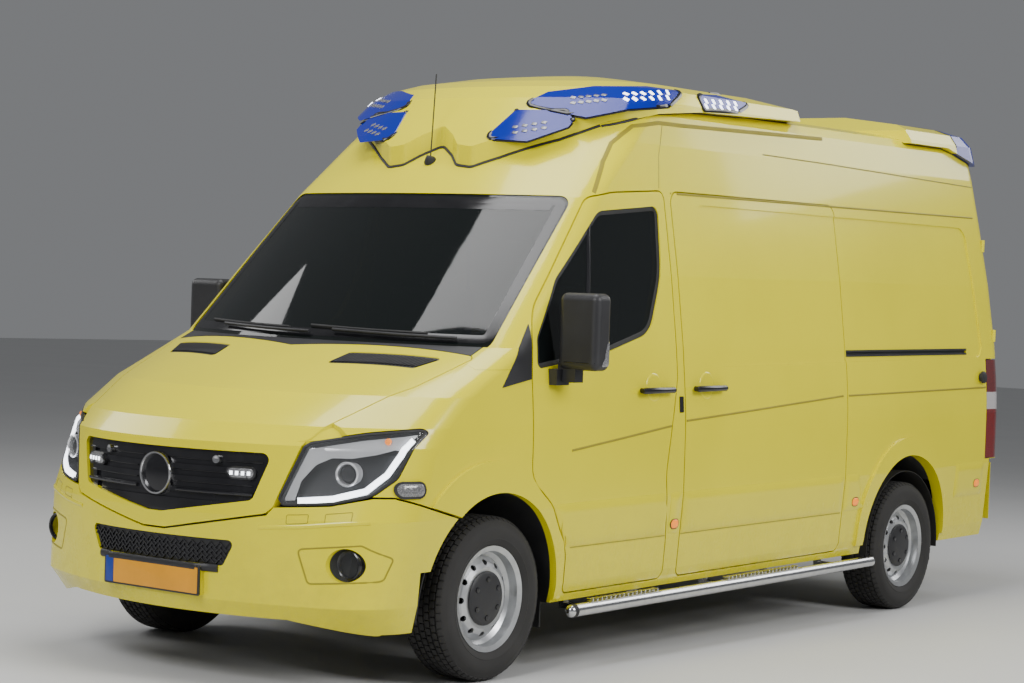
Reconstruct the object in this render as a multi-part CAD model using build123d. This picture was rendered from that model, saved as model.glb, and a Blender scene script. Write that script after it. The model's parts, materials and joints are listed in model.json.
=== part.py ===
from build123d import *
import math
import os

# High-roof panel van ambulance. Millimetres, +X to the vehicle's left, +Y rearwards, +Z up.
# Lengthwise places are measured rearwards from the front axle's line, heights from the road.
# The bodywork is drawn level and then sits nose-down by the rake.

# Chassis
wheelbase = 3665
front_axle_y = -1960.6
rake = 0.8
track = 1710
tyre_radius = 342
tyre_width = 225
rim_radius = 203
flange_radius = 220.5
rim_width = 166
rim_offset = 62
stub_radius = 35
running_fit = 0.06
kingpin_x = 790
kingpin_radius = 14

# Body walls and gaps
wall = 50
skin = 22
seal_step = 28
door_gap = 7
flange_lap = 12
inner_step = 26
seat_gap = 0.3
glass_depth = 4
glass_thick = 6
panel_gap = 5

# Levels
body_bottom = 245
sill_bottom = 285
door_bottom = 322
gutter = 2092
cab_floor = 585
load_floor = 660
floor_thick = 30
roof_top = 2562

# Lengthwise places
door_front = 225
door_rear = 1340
slider_front = 1400
firewall_rear = -105
firewall_thick = 30
slider_rear = 2938
bulkhead_at = 1352
bulkhead_thick = 26
tail_end = 4805
bumper_start = 4630
bumper_top = 722
lamp_start = 4575

# Wheel openings
front_arch_radius = 443
rear_arch_radius = 458
rear_arch_z = 325
liner_thick = 5

# Body shape by level: height, nose, front arc, corner, half width, tail, tail corner,
# and how far the nose line moves down and back for each millimetre of wall.
LEVELS = (
    (body_bottom, -940, 1500, 290, 930, 4796, 130, 0.0, 1.0),
    (360, -992, 1800, 280, 957, tail_end, 130, 0.0, 1.0),
    (700, -1003, 1600, 290, 985, tail_end, 130, 0.0, 1.0),
    (985, -999, 1250, 290, 985, tail_end, 130, 0.5, 1.0),
    (1060, -925, 1250, 280, 983, tail_end, 130, 0.9, 0.6),
    (1180, -690, 1400, 240, 975, tail_end, 130, 1.1, 0.0),
    (1377, -143, 2000, 170, 957, 4798, 130, 0.87, 0.54),
    (1700, 189, 2000, 170, 916, 4775, 130, 0.0, 1.43),
    (2031, 530, 2000, 170, 863, 4742, 130, 0.0, 1.43),
    (2300, 830, 1700, 200, 820, 4705, 130, 0.0, 1.4),
    (2440, 985, 1550, 220, 790, 4685, 130, 0.2, 1.2),
    (2486, 1070, 1400, 240, 750, 4665, 150, 0.6, 0.8),
    (2512, 1170, 1250, 260, 650, 4630, 180, 0.9, 0.5),
    (2540, 1330, 1000, 250, 420, 4560, 180, 1.0, 0.2),
    (roof_top, 1520, 800, 150, 250, 4480, 130, 1.0, 0.0),
)
least_corner = 20


def level_edges(z, nose, arc, corner, half, tail, tail_corner):
    """Edges of a horizontal section: front arc, blended corners, straight sides and square tail."""
    corner_x = half - corner
    arc_y = nose + arc
    corner_y = arc_y - math.sqrt((arc - corner) ** 2 - corner_x ** 2)
    grow = arc / (arc - corner)
    touch_x = corner_x * grow
    touch_y = arc_y - (arc_y - corner_y) * grow
    half_turn = math.atan2(touch_y - corner_y, touch_x - corner_x) / 2
    mid_x = corner_x + corner * math.cos(half_turn)
    mid_y = corner_y + corner * math.sin(half_turn)
    cut = tail_corner * (1 - math.sqrt(0.5))
    side_end = tail - tail_corner
    tail_x = half - tail_corner
    return [
        Edge.make_three_point_arc((-touch_x, touch_y, z), (0, nose, z), (touch_x, touch_y, z)),
        Edge.make_three_point_arc((touch_x, touch_y, z), (mid_x, mid_y, z), (half, corner_y, z)),
        Edge.make_line((half, corner_y, z), (half, side_end, z)),
        Edge.make_three_point_arc((half, side_end, z), (half - cut, tail - cut, z), (tail_x, tail, z)),
        Edge.make_line((tail_x, tail, z), (-tail_x, tail, z)),
        Edge.make_three_point_arc((-tail_x, tail, z), (cut - half, tail - cut, z), (-half, side_end, z)),
        Edge.make_line((-half, side_end, z), (-half, corner_y, z)),
        Edge.make_three_point_arc((-half, corner_y, z), (-mid_x, mid_y, z), (-touch_x, touch_y, z)),
    ]


def envelope(depth):
    """The whole body shape, drawn in by a depth; below the sills it is open to the road."""
    rows = []
    for z, nose, arc, corner, half, tail, tail_corner, down, back in LEVELS:
        level = z - depth * down
        if z == body_bottom:
            level = z - 2 * abs(depth)
        rows.append(level_edges(
            level,
            nose + depth * back,
            arc - depth,
            max(corner - depth, least_corner),
            half - depth,
            tail - depth,
            max(tail_corner - depth, least_corner),
        ))
    faces = [Face(Wire(rows[0])), Face(Wire(rows[-1]))]
    for lower, upper in zip(rows, rows[1:]):
        for low_edge, high_edge in zip(lower, upper):
            if low_edge.geom_type == GeomType.LINE:
                corners = [low_edge @ 0, low_edge @ 1, high_edge @ 1, high_edge @ 0]
                faces.append(Face(Wire.make_polygon(corners, close=True)))
            else:
                faces.append(Face.make_surface_from_curves(low_edge, high_edge))
    return Solid(Shell(faces))


def outline(plane, points, radii):
    """Closed outline with rounded corners on a plane."""
    corners = list(points)
    face = make_face(Polyline(*corners, close=True))
    for radius in sorted({r for r in radii if r > 0}):
        picked = [
            vertex for vertex in face.vertices()
            if any(math.dist((vertex.X, vertex.Y), corner) < 0.01
                   for corner, r in zip(corners, radii) if r == radius)
        ]
        face = fillet(picked, radius)
    return plane * face


far = 1300


def side_prism(points, radii, grow=0.0, inner=400):
    """Prism through the left side of a side-view outline of (rearwards, up) points."""
    face = outline(Plane.YZ, points, radii)
    if grow:
        face = offset(face, grow)
    return Pos(inner, 0, 0) * extrude(face, amount=far - inner)


def across_prism(points, radii):
    """Prism right across the vehicle of a side-view outline."""
    face = outline(Plane.YZ, points, radii)
    return Pos(-far, 0, 0) * extrude(face, amount=2 * far)


def front_prism(points, radii, near=100, length=1400, grow=0.0):
    """Prism of a front-view outline of (sideways, up) points, from near to the nose."""
    face = outline(Plane.XZ, points, radii)
    if grow:
        face = offset(face, grow)
    return Pos(0, near, 0) * extrude(face, amount=length)


def plan_prism(points, radii, low, high, grow=0.0):
    """Prism of a plan outline of (sideways, rearwards) points."""
    face = outline(Plane.XY, points, radii)
    if grow:
        face = offset(face, grow)
    return Pos(0, 0, low) * extrude(face, amount=high - low)


def block(x0, x1, y0, y1, z0, z1):
    """Plain block between two corners."""
    return Pos((x0 + x1) / 2, (y0 + y1) / 2, (z0 + z1) / 2) * Box(x1 - x0, y1 - y0, z1 - z0)


def rod(start, end, radius):
    """Round bar between two points."""
    line = Edge.make_line(start, end)
    return extrude(Plane(start, z_dir=line % 0) * Circle(radius), amount=line.length)


def across_disc(y, z, radius, x0, x1):
    """Disc with its axis across the vehicle."""
    return Pos((x0 + x1) / 2, y, z) * Rot(0, 90, 0) * Cylinder(radius, x1 - x0)


def other_side(shape):
    """The same shape on the other side of the vehicle."""
    return mirror(shape, about=Plane.YZ)


def both(shape):
    """A piece and its mirror image as one node."""
    return Compound(shape.solids() + other_side(shape).solids())


def seated(shape):
    """Bodywork: sits nose-down on the axles."""
    return Pos(0, front_axle_y, 0) * Rot(rake, 0, 0) * shape


def road_height(s, z):
    """Height over the road of a place on the bodywork."""
    turn = math.radians(rake)
    return z * math.cos(turn) + s * math.sin(turn)


def level(shape):
    """Running gear: stays level on the road."""
    return Pos(0, front_axle_y, 0) * shape


# Body shells at the depths where panels, seals and linings change
outer = envelope(0)
at_skin = envelope(skin)
at_seal = envelope(seal_step)
at_wall = envelope(wall)
outside = envelope(-40)

rear_axle_s = wheelbase * math.cos(math.radians(rake))
front_axle_z = tyre_radius * math.cos(math.radians(rake))
rear_axle_z = tyre_radius - wheelbase * math.sin(math.radians(rake))

# Side-view outlines: (rearwards, up) and corner radius
DOOR = (
    ((door_rear, gutter - 6), 40),
    ((928, 2060), 600),
    ((752, 2030), 110),
    ((244, 1500), 300),
    ((door_front, 1251), 200),
    ((door_front + 2, 830), 120),
    ((380, 715), 200),
    ((512, 500), 150),
    ((516, door_bottom), 30),
    ((1290, door_bottom), 40),
    ((1286, 500), 200),
    ((1250, 800), 300),
    ((1290, 1030), 200),
    ((door_rear, 1240), 150),
)
WINDOW = (
    ((1290, 2018), 45),
    ((800, 1975), 120),
    ((440, 1672), 200),
    ((268, 1420), 60),
    ((262, 1288), 30),
    ((740, 1345), 200),
    ((1140, 1440), 160),
    ((1262, 1700), 500),
)
SLIDER = (
    ((slider_front, gutter - 6), 60),
    ((slider_rear, gutter - 6), 60),
    ((slider_rear, door_bottom), 40),
    ((slider_front + 10, door_bottom), 40),
)


def layer(region, shallow, deep):
    """The part of a region between two depths of the body shape."""
    return (shallow & region) - deep


def points_of(table):
    """Corner points of a named outline."""
    return [row[0] for row in table]


def radii_of(table):
    """Corner radii of a named outline."""
    return [row[1] for row in table]


def opening_cut(table):
    """What an opening for a closed panel removes: a rebate for its skin, then the way through."""
    rim = layer(side_prism(points_of(table), radii_of(table), grow=door_gap), outside, at_seal)
    way = side_prism(points_of(table), radii_of(table), grow=-flange_lap)
    return rim + way


def panel(table):
    """A door or panel: its skin to the full outline and its inner frame drawn in."""
    skin_part = layer(side_prism(points_of(table), radii_of(table)), outer, at_skin)
    inner_part = layer(side_prism(points_of(table), radii_of(table), grow=-inner_step), outer, at_wall)
    return skin_part + inner_part


window_hole = side_prism(points_of(WINDOW), radii_of(WINDOW))
door_cut = opening_cut(DOOR)
slider_cut = opening_cut(SLIDER)

# Windscreen and its place in the front frame
SCREEN = (
    ((800, 2034), 60),
    ((-800, 2034), 60),
    ((-868, 1352), 50),
    ((868, 1352), 50),
)
screen_face = front_prism(points_of(SCREEN), radii_of(SCREEN), near=900, length=1200)
screen_hole = front_prism(points_of(SCREEN), radii_of(SCREEN), near=900, length=1200, grow=-30)
screen_rebate = front_prism(points_of(SCREEN), radii_of(SCREEN), near=900, length=1200, grow=2)
above_cowl = across_prism([(-700, 1377), (2000, 1377), (2000, 2300), (-700, 2300)], [0] * 4)
screen_zone = above_cowl
at_glass = envelope(glass_depth)
under_glass = envelope(glass_depth + glass_thick)
glass_seat = envelope(glass_depth + glass_thick + seat_gap)
windscreen = layer(screen_face & screen_zone, at_glass, under_glass)

# Roof with windscreen frame
roof_region = across_prism(
    [(-100, 1290), (300, 1290), (330, 1470), (790, 1960), (930, 2010), (1300, 2030),
     (1300, gutter), (5000, gutter), (5000, 2800), (-100, 2800)],
    [0] * 10,
)
roof = layer(roof_region, outer, at_wall)
roof -= layer(screen_rebate & screen_zone, outside, glass_seat)
roof -= screen_hole & across_prism([(-700, 1300), (1200, 1300), (1200, 2300), (-700, 2300)], [0] * 4)
roof -= block(-842, 842, -1200, 100, 1200, 1379)
roof -= door_cut
roof -= other_side(door_cut)

# Rear doors
rear_hinge_x = 892
rear_hinge_s = tail_end + 10
REAR_DOOR = (
    ((4, 742), 20),
    ((866, 742), 30),
    ((858, 1300), 300),
    ((756, 2031), 300),
    ((700, 2345), 90),
    ((4, 2345), 20),
)


def rear_prism(points, radii, grow=0.0):
    """Prism of a rear-view outline of (sideways, up) points through the tail."""
    face = outline(Plane.XZ, points, radii)
    if grow:
        face = offset(face, grow)
    return Pos(0, 5300, 0) * extrude(face, amount=900)


rear_door = layer(rear_prism(points_of(REAR_DOOR), radii_of(REAR_DOOR)), outer, at_skin)
rear_inner = [(30, 768), (840, 768), (832, 1300), (732, 2031), (676, 2319), (30, 2319)]
rear_inner_radii = [20, 30, 300, 300, 70, 20]
rear_door += layer(rear_prism(rear_inner, rear_inner_radii), at_skin, at_wall)
REAR_WINDOW = (
    ((110, 1400), 50),
    ((742, 1400), 50),
    ((668, 1960), 60),
    ((110, 1960), 60),
)
rear_door -= rear_prism(points_of(REAR_WINDOW), radii_of(REAR_WINDOW))
whole_rear = [(-866 - door_gap, 742 - door_gap), (866 + door_gap, 742 - door_gap),
              (858 + door_gap, 1300), (756 + door_gap, 2031), (700 + door_gap, 2345 + door_gap),
              (-700 - door_gap, 2345 + door_gap), (-756 - door_gap, 2031), (-858 - door_gap, 1300)]
whole_rear_radii = [30, 30, 300, 300, 90, 90, 300, 300]
rear_rim = layer(rear_prism(whole_rear, whole_rear_radii), outside, at_seal)
rear_way = rear_prism(
    [(-850, 760), (850, 760), (843, 1300), (740, 2031), (685, 2330),
     (-685, 2330), (-740, 2031), (-843, 1300)],
    [30, 30, 300, 300, 80, 80, 300, 300],
)
roof -= rear_rim
roof -= rear_way

# Side walls, with the sill below the doors
side_region = side_prism(
    [(505, sill_bottom), (5000, sill_bottom), (5000, gutter), (1300, gutter), (1300, 2030),
     (1180, 2030), (1180, 400), (505, 400)],
    [0] * 8,
)
rear_opening = across_disc(rear_axle_s - 15, rear_arch_z, rear_arch_radius, 300, far)
side_wall = layer(side_region, outer, at_wall)
side_wall -= door_cut
side_wall -= slider_cut
side_wall -= rear_opening
side_wall -= rear_rim
side_wall -= rear_way

# Rear wheel flare stands proud of the side
flare_proud = 12
flare_shape = envelope(-flare_proud)
rear_flare = across_disc(rear_axle_s - 37, 368, 512, 300, far) - rear_opening
rear_flare &= block(600, far, 3000, 4300, 330, 1000)
side_wall += layer(rear_flare, flare_shape, at_skin)
side_wall -= block(300, far, bumper_start - 3, 5000, 0, bumper_top + seat_gap)

# Rear door hinges: two ears on the body, an arm and its pin on the door
ear_radius = 11
hinge_pin_radius = 6
ear_height = 20
for z in (820, 1330):
    for low in (z - 1.5 * ear_height, z + 0.5 * ear_height):
        high = low + ear_height
        ear = block(rear_hinge_x - ear_radius, rear_hinge_x + 7, tail_end - 25, rear_hinge_s, low, high)
        ear += rod((rear_hinge_x, rear_hinge_s, low), (rear_hinge_x, rear_hinge_s, high), ear_radius)
        side_wall += ear
    arm_low = z - 0.5 * ear_height + seat_gap
    arm_high = z + 0.5 * ear_height - seat_gap
    arm = block(830, rear_hinge_x, tail_end + 2, rear_hinge_s + 7, arm_low, arm_high)
    arm += block(830, 856, tail_end - 13, rear_hinge_s + 7, arm_low, arm_high)
    arm += rod((rear_hinge_x, rear_hinge_s, arm_low), (rear_hinge_x, rear_hinge_s, arm_high), ear_radius)
    rear_door += arm
    pin_low = (rear_hinge_x, rear_hinge_s, z - 1.5 * ear_height)
    pin_high = (rear_hinge_x, rear_hinge_s, z + 1.5 * ear_height)
    rear_door += rod(pin_low, pin_high, hinge_pin_radius)
    side_wall -= rod(pin_low, pin_high, hinge_pin_radius + running_fit)

# Front wings
BONNET = (
    ((0, -215), 0),
    ((0, -1300), 0),
    ((540, -1300), 0),
    ((560, -860), 0),
    ((640, -800), 60),
    ((800, -350), 400),
    ((862, -35), 20),
)
bonnet_half = plan_prism(points_of(BONNET), radii_of(BONNET), 960, 1500)
bonnet_gap = plan_prism(points_of(BONNET), radii_of(BONNET), 700, 1500, grow=panel_gap)
roof -= bonnet_gap
roof -= other_side(bonnet_gap)
front_opening = across_disc(0, front_axle_z, front_arch_radius, 300, far)
front_opening += block(300, far, -480, 0, 100, front_axle_z + 150)
wing_region = side_prism(
    [(-626, 798), (-262, 702), (-262, 400), (300, sill_bottom), (503, sill_bottom), (503, 560),
     (400, 760), (260, 1289), (-101, 1289), (-101, 1420), (-700, 1420), (-700, 798)],
    [0] * 12, inner=640,
)
LAMP = (
    ((556, 748), 30),
    ((759, 762), 150),
    ((885, 796), 80),
    ((938, 865), 60),
    ((966, 1063), 20),
    ((812, 1041), 200),
    ((643, 1001), 40),
)
lamp_gap = front_prism(points_of(LAMP), radii_of(LAMP), near=-380, length=800, grow=4)
wing = layer(wing_region, outer, at_skin)
wing -= front_opening
wing -= bonnet_gap
wing -= lamp_gap
wing -= door_cut
front_flare = across_disc(-51, 371, 548, 300, far) - front_opening
front_flare &= side_prism(
    [(-262, 702), (-262, 400), (300, 300), (490, 300), (488, 520), (352, 700), (200, 850),
     (200, 1000), (-400, 1000), (-560, 780)], [0] * 10)
wing += layer(front_flare, flare_shape, at_skin)
wing -= door_cut

# Bonnet: skin with a drawn edge, and the grille panel that opens with it
bonnet_zone = bonnet_half + other_side(bonnet_half)
bonnet = layer(bonnet_zone, outer, at_skin)
bonnet -= lamp_gap
bonnet -= other_side(lamp_gap)

VENT = (
    ((322, -352), 15),
    ((345, -222), 15),
    ((760, -110), 15),
    ((700, -240), 15),
)
vent_hole = plan_prism(points_of(VENT), radii_of(VENT), 1150, 1500)
bonnet_vent = layer(plan_prism(
    points_of(VENT), radii_of(VENT), 1150, 1500, grow=-seat_gap), envelope(3), envelope(skin - 6))
bonnet -= vent_hole
bonnet -= other_side(vent_hole)
bonnet_vents = both(bonnet_vent)

FRAME = (
    ((634, 1001), 0),
    ((-634, 1001), 0),
    ((-550, 742), 20),
    ((-523, 716), 40),
    ((-60, 628), 60),
    ((60, 628), 60),
    ((523, 716), 40),
    ((550, 742), 20),
)
GRILLE = (
    ((530, 951), 30),
    ((-530, 951), 30),
    ((-466, 764), 30),
    ((-40, 690), 60),
    ((40, 690), 60),
    ((466, 764), 30),
)
frame_face = front_prism(points_of(FRAME), radii_of(FRAME), near=-500, length=700)
grille_hole = front_prism(points_of(GRILLE), radii_of(GRILLE), near=-500, length=700)
bonnet += layer(frame_face, outer, envelope(wall - 10)) - grille_hole
grille = layer(front_prism(
    points_of(GRILLE), radii_of(GRILLE), near=-500, length=700, grow=-seat_gap), envelope(14), envelope(34))
slat_pitch = 46
slat_height = 26
for row in range(4):
    low = 748 + row * slat_pitch
    reach = 400 + row * 16
    slot = block(-reach, reach, -1100, -600, low, low + slat_height)
    grille -= layer(slot, envelope(8), envelope(24))

# Front bumper
bumper_front = front_prism(
    [(-985, 790), (-890, 790), (-759, 755), (-556, 741), (-530, 709), (-60, 620),
     (60, 620), (530, 709), (556, 741), (759, 755), (890, 790), (985, 790),
     (985, 250), (875, 246), (600, 300), (-600, 300), (-875, 246), (-985, 250)],
    [0] * 18, near=-620, length=700)
bumper_side = across_prism(
    [(-640, 788), (-620, 788), (-267, 694), (-267, 250), (-640, 250)], [0] * 5)
bumper = layer(bumper_front, outer, at_skin) + layer(bumper_side, outer, at_skin)
beam_front = -830
beam_rear = -790
for x in (-430, 430):
    bumper += block(x - 30, x + 30, -940, beam_front - seat_gap, 440, 500) & envelope(skin / 2)
bumper -= front_opening
bumper -= other_side(front_opening)
bumper -= lamp_gap
bumper -= other_side(lamp_gap)
intake = [(-404, 600), (-350, 496), (350, 496), (404, 600)]
intake_hole = front_prism(intake, [20, 20, 20, 20], near=-600, length=600)
bumper -= intake_hole
fog_x = 828
fog_z = 530
fog_hole = Pos(fog_x, -500, fog_z) * Rot(90, 0, 0) * Cylinder(66, 700)
bumper -= fog_hole
bumper -= other_side(fog_hole)
plate_width = 524
plate_height = 118
plate_z = 431
plate_face = -1000
plate_low = plate_z - plate_height / 2
plinth = block(-plate_width / 2, plate_width / 2, plate_face, -900, plate_low, plate_low + plate_height)
bumper += plinth - envelope(20)
bumper_grille = layer(front_prism(
    intake, [20, 20, 20, 20], near=-600, length=600, grow=-seat_gap), envelope(12), envelope(20))
fog_lamp = layer(Pos(fog_x, -500, fog_z) * Rot(90, 0, 0) * Cylinder(60, 700), envelope(26), envelope(70))
fog_plate = Pos(fog_x, -500, fog_z) * Rot(90, 0, 0) * Cylinder(85, 700)
fog_bracket = layer(fog_plate, envelope(skin + seat_gap), envelope(skin + 10))
fog_lamps = both(fog_lamp + fog_bracket)

# Headlamps fill their openings: a hollow housing behind a clear lens
lens_depth = 7
lamp_depth = 74
lamp_lens = layer(front_prism(
    points_of(LAMP), radii_of(LAMP), near=-400, length=800, grow=-1), envelope(1), envelope(lens_depth))
lamp_prism = front_prism(points_of(LAMP), radii_of(LAMP), near=-400, length=800, grow=-1)
headlamp = layer(lamp_prism, envelope(lens_depth + seat_gap), envelope(lamp_depth))
headlamp -= layer(front_prism(
    points_of(LAMP), radii_of(LAMP), near=-400, length=800, grow=-12), outer, envelope(lamp_depth - 8))
lamp_bracket = front_prism(points_of(LAMP), radii_of(LAMP), near=-400, length=800, grow=12)
lamp_bracket -= front_prism(points_of(LAMP), radii_of(LAMP), near=-400, length=800, grow=-6)
lamp_bracket &= block(890, far, -900, 0, 800, 1040)
headlamp += layer(lamp_bracket, envelope(skin + seat_gap), envelope(skin + 14))
headlamps = both(headlamp)
headlamp_lenses = both(lamp_lens)

# Cowl below the windscreen, and the scuttle wall behind the engine
scuttle = layer(block(-838, 838, -230, 40, 1290, 1377), outer, envelope(24))
scuttle -= bonnet_gap
scuttle -= other_side(bonnet_gap)
firewall = block(-700, 700, firewall_rear - firewall_thick, firewall_rear, cab_floor - floor_thick, 1362)
cowl_post = block(-380, 380, firewall_rear - firewall_thick, firewall_rear, 1200, 1362)
scuttle += (firewall & envelope(skin + 10)) + (cowl_post & envelope(12))
wheel_room = across_disc(0, front_axle_z, front_arch_radius + 12, 540, 1000)
scuttle -= wheel_room
scuttle -= other_side(wheel_room)

# Floors with the boxes over the rear wheels
inside = envelope(wall + seat_gap)
cab_pan = inside & block(-940, 940, 470, bulkhead_at, cab_floor - floor_thick, cab_floor)
toe_pan = inside & block(-520, 520, firewall_rear + seat_gap, 470, cab_floor - floor_thick, cab_floor)
load_pan = inside & block(-940, 940, bulkhead_at, 4660, load_floor - floor_thick, load_floor)
load_pan += block(-830, 830, 4640, 4730, load_floor - floor_thick, load_floor)
join_step = block(-900, 900, bulkhead_at, bulkhead_at + 26, cab_floor - floor_thick, load_floor)
floor_pan = cab_pan + toe_pan + load_pan + join_step
box_outer = rear_arch_radius + 14
for side in (1, -1):
    arch_box = across_disc(rear_axle_s - 15, rear_arch_z, box_outer, 640, 940)
    arch_hole = across_disc(rear_axle_s - 15, rear_arch_z, rear_arch_radius, 652, 940)
    arch_box &= inside
    arch_box &= block(600, 960, 3000, 4300, load_floor - floor_thick, 1000)
    if side < 0:
        arch_box = other_side(arch_box)
        arch_hole = other_side(arch_hole)
    floor_pan += arch_box
    floor_pan -= arch_hole

# Bulkhead with its window
bulkhead_rear = bulkhead_at + bulkhead_thick
bulkhead = inside & block(-940, 940, bulkhead_at, bulkhead_rear, load_floor + seat_gap, roof_top)
bulkhead -= block(-280, 280, bulkhead_at - 10, bulkhead_at + 60, 1350, 1850)

# Dashboard, seats and steering wheel
dash_front = firewall_rear + seat_gap
DASH = ((dash_front, 1290), (60, 1330), (260, 1290), (330, 1200), (300, 1100), (230, 1040), (200, 860),
        (120, 830), (dash_front, 830))
dash = envelope(wall + 3) & across_prism(DASH, [0, 60, 60, 40, 40, 40, 40, 40, 0])
dash &= block(-900, 900, -200, 500, 700, 1500)
dashboard = dash
wheel_centre = Vector(420, 500, 1185)
wheel_tilt = 38
wheel_ring = 225
steering = Torus(wheel_ring, 15)
steering += Cylinder(70, 40)
for turn in (20, 160, 270):
    steering += Rot(0, 0, turn) * Pos(wheel_ring / 2, 0, 0) * Box(wheel_ring - 20, 32, 14)
steering += Pos(0, 0, -80) * Cylinder(20, 160)
steering_place = Pos(*tuple(wheel_centre)) * Rot(-(90 - wheel_tilt) + 20, 0, 0)
steering_wheel = steering_place * steering
column = steering_place * Pos(0, 0, -265) * Cylinder(46, 310)
dashboard = dash + block(355, 485, 160, 360, 850, 960)
dashboard += column
dashboard -= steering_place * Pos(0, 0, -190) * Cylinder(20 + running_fit, 200)

seat_base_s = 740


def seat(x0, x1):
    """Seat with cushion, leaning back and head restraint."""
    profile = [(seat_base_s, 910), (seat_base_s + 440, 890), (seat_base_s + 590, 1560),
               (seat_base_s + 570, 1600), (seat_base_s + 500, 1600), (seat_base_s + 400, 1020),
               (seat_base_s, 1030)]
    shape = Pos(x0, 0, 0) * extrude(outline(Plane.YZ, profile, [40, 20, 30, 30, 30, 80, 50]), amount=x1 - x0)
    mid = (x0 + x1) / 2
    head = block(mid - 130, mid + 130, seat_base_s + 505, seat_base_s + 590, 1640, 1820)
    head = fillet(head.edges().filter_by(Axis.X), 30)
    posts = rod((mid - 60, seat_base_s + 550, 1580), (mid - 60, seat_base_s + 550, 1660), 7)
    posts += rod((mid + 60, seat_base_s + 550, 1580), (mid + 60, seat_base_s + 550, 1660), 7)
    box = block(x0 + 30, x1 - 30, seat_base_s + 40, seat_base_s + 430, cab_floor + seat_gap, 930)
    return shape + head + posts + box


seats = Compound(seat(170, 680).solids() + seat(-680, -170).solids())

# Shallow recess pressed across the load side, and the rail of the sliding door in it
RECESS = (
    ((1566, 2037), 90),
    ((1700, 1280), 60),
    ((4537, 1302), 60),
    ((4440, 2025), 90),
)
recess_depth = 7
recess = layer(side_prism(points_of(RECESS), radii_of(RECESS)), outside, envelope(recess_depth))
side_wall -= recess
rail_outline = ((2952, 1316), (4342, 1316), (4342, 1350), (2952, 1350))
side_wall -= layer(side_prism(rail_outline, [0] * 4), outside, envelope(26))
slider_rail = layer(side_prism(rail_outline, [0] * 4, grow=-seat_gap), envelope(4), envelope(26 - seat_gap))
slider_rail -= block(300, far, 2900, 4400, 1326, 1340) - envelope(16)
slider_rails = both(slider_rail)

# Sliding doors, closed
slider = panel(SLIDER)
slider += layer(side_prism(
    points_of(SLIDER), radii_of(SLIDER), grow=-2), envelope(skin - 2), envelope(seal_step - seat_gap))
slider -= rear_opening
slider -= recess
sliding_doors = both(slider)

# Front doors with frame, window hole and handle
front_door = panel(DOOR) - window_hole
glass_ring = side_prism(points_of(WINDOW), radii_of(WINDOW), grow=-seat_gap)
door_glass = layer(glass_ring, envelope(glass_depth + 6), envelope(glass_depth + 11))
handle_z = 1183


def handle(s0, s1):
    """Bar handle on two feet."""
    bar = rod((1003, s0 + 14, handle_z), (1003, s1 - 14, handle_z), 13)
    for s in (s0 + 14, s1 - 14):
        bar += Pos(1003, s, handle_z) * Sphere(13)
    for s in (s0 + 30, s1 - 30):
        bar += rod((1003, s, handle_z), (955, s, handle_z), 11)
    return bar


# Mirrors
mirror_head = Pos(1090, 420, 1452) * Box(206, 112, 326)
mirror_head = fillet(mirror_head.edges(), 32)
mirror_arm = block(940, 1010, 340, 430, 1222, 1290)
mirror_arm += block(985, 1075, 380, 440, 1236, 1320)
mirror_left = mirror_head + mirror_arm
mirror_left -= front_door
mirror_left -= envelope(glass_depth + 5.5)

# Roof pods: the roof shape raised and let out, cut back to their edges, with sunk lenses
pod_rise = 52
pod_side = 34
lens_proud = 3
lens_thick = 9
POD = (
    ((0, 790), 30),
    ((95, 738), 40),
    ((157, 692), 50),
    ((240, 690), 60),
    ((350, 762), 100),
    ((560, 922), 200),
    ((754, 1160), 200),
    ((900, 1420), 100),
    ((900, 2560), 0),
    ((690, 2740), 60),
)


def mirrored_outline(table):
    """Right half of an outline followed by its mirror image, as points and radii."""
    middle = [row for row in table if row[0][0] == 0]
    side_rows = [row for row in table if row[0][0] != 0]
    points = [row[0] for row in middle] + [row[0] for row in side_rows]
    points += [(-row[0][0], row[0][1]) for row in reversed(side_rows)]
    radii = [row[1] for row in middle] + [row[1] for row in side_rows]
    radii += [row[1] for row in reversed(side_rows)]
    return points, radii


def pod_shape(proud):
    """The roof shape raised and let out to a height above the pods' own surface."""
    return Pos(0, 0, pod_rise) * envelope(-pod_side - proud)


pod_points, pod_radii = mirrored_outline(POD)
roof_clear = envelope(-seat_gap)
pod_sides = across_prism(
    [(600, 2100), (720, 2100), (1059, 2366), (1311, 2440), (1700, 2476), (2700, 2500),
     (2760, 2540), (1760, 2665), (600, 2665)], [0] * 9)
roof_pod_front = pod_shape(0) & plan_prism(pod_points, pod_radii, 2100, 2800)
roof_pod_front &= pod_sides
roof_pod_front -= roof_clear

# Lenses are drawn in a plane facing forwards and to the left, as (along, up) points
lens_plane = Plane(origin=(0, 0, 0), x_dir=(0.80073, 0.59902, 0), z_dir=(0.59681, -0.79777, -0.08590))
# Name, innermost place, foremost and rearmost places, outline
LENSES = (
    ("upper", 250, 800, 1780,
     ((828, 2408), (946, 2468), (1157, 2501), (1403, 2508), (1586, 2489), (1506, 2420), (1309, 2403),
      (1119, 2360))),
    ("lower", 200, 600, 1150,
     ((661, 2250), (801, 2382), (1028, 2389), (1065, 2346), (1038, 2315), (855, 2246))),
    ("rear", 690, 1600, 2420,
     ((1653, 2478), (1770, 2474), (1945, 2435), (1873, 2396), (1687, 2404))),
)


def lens_prism(points, grow=0.0):
    """Prism of a lens outline towards the front left of the roof, clear of its far side."""
    face = outline(lens_plane, points, [12] * len(points))
    if grow:
        face = offset(face, grow)
    return extrude(face, amount=2400) + extrude(face, amount=-2400)


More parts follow.
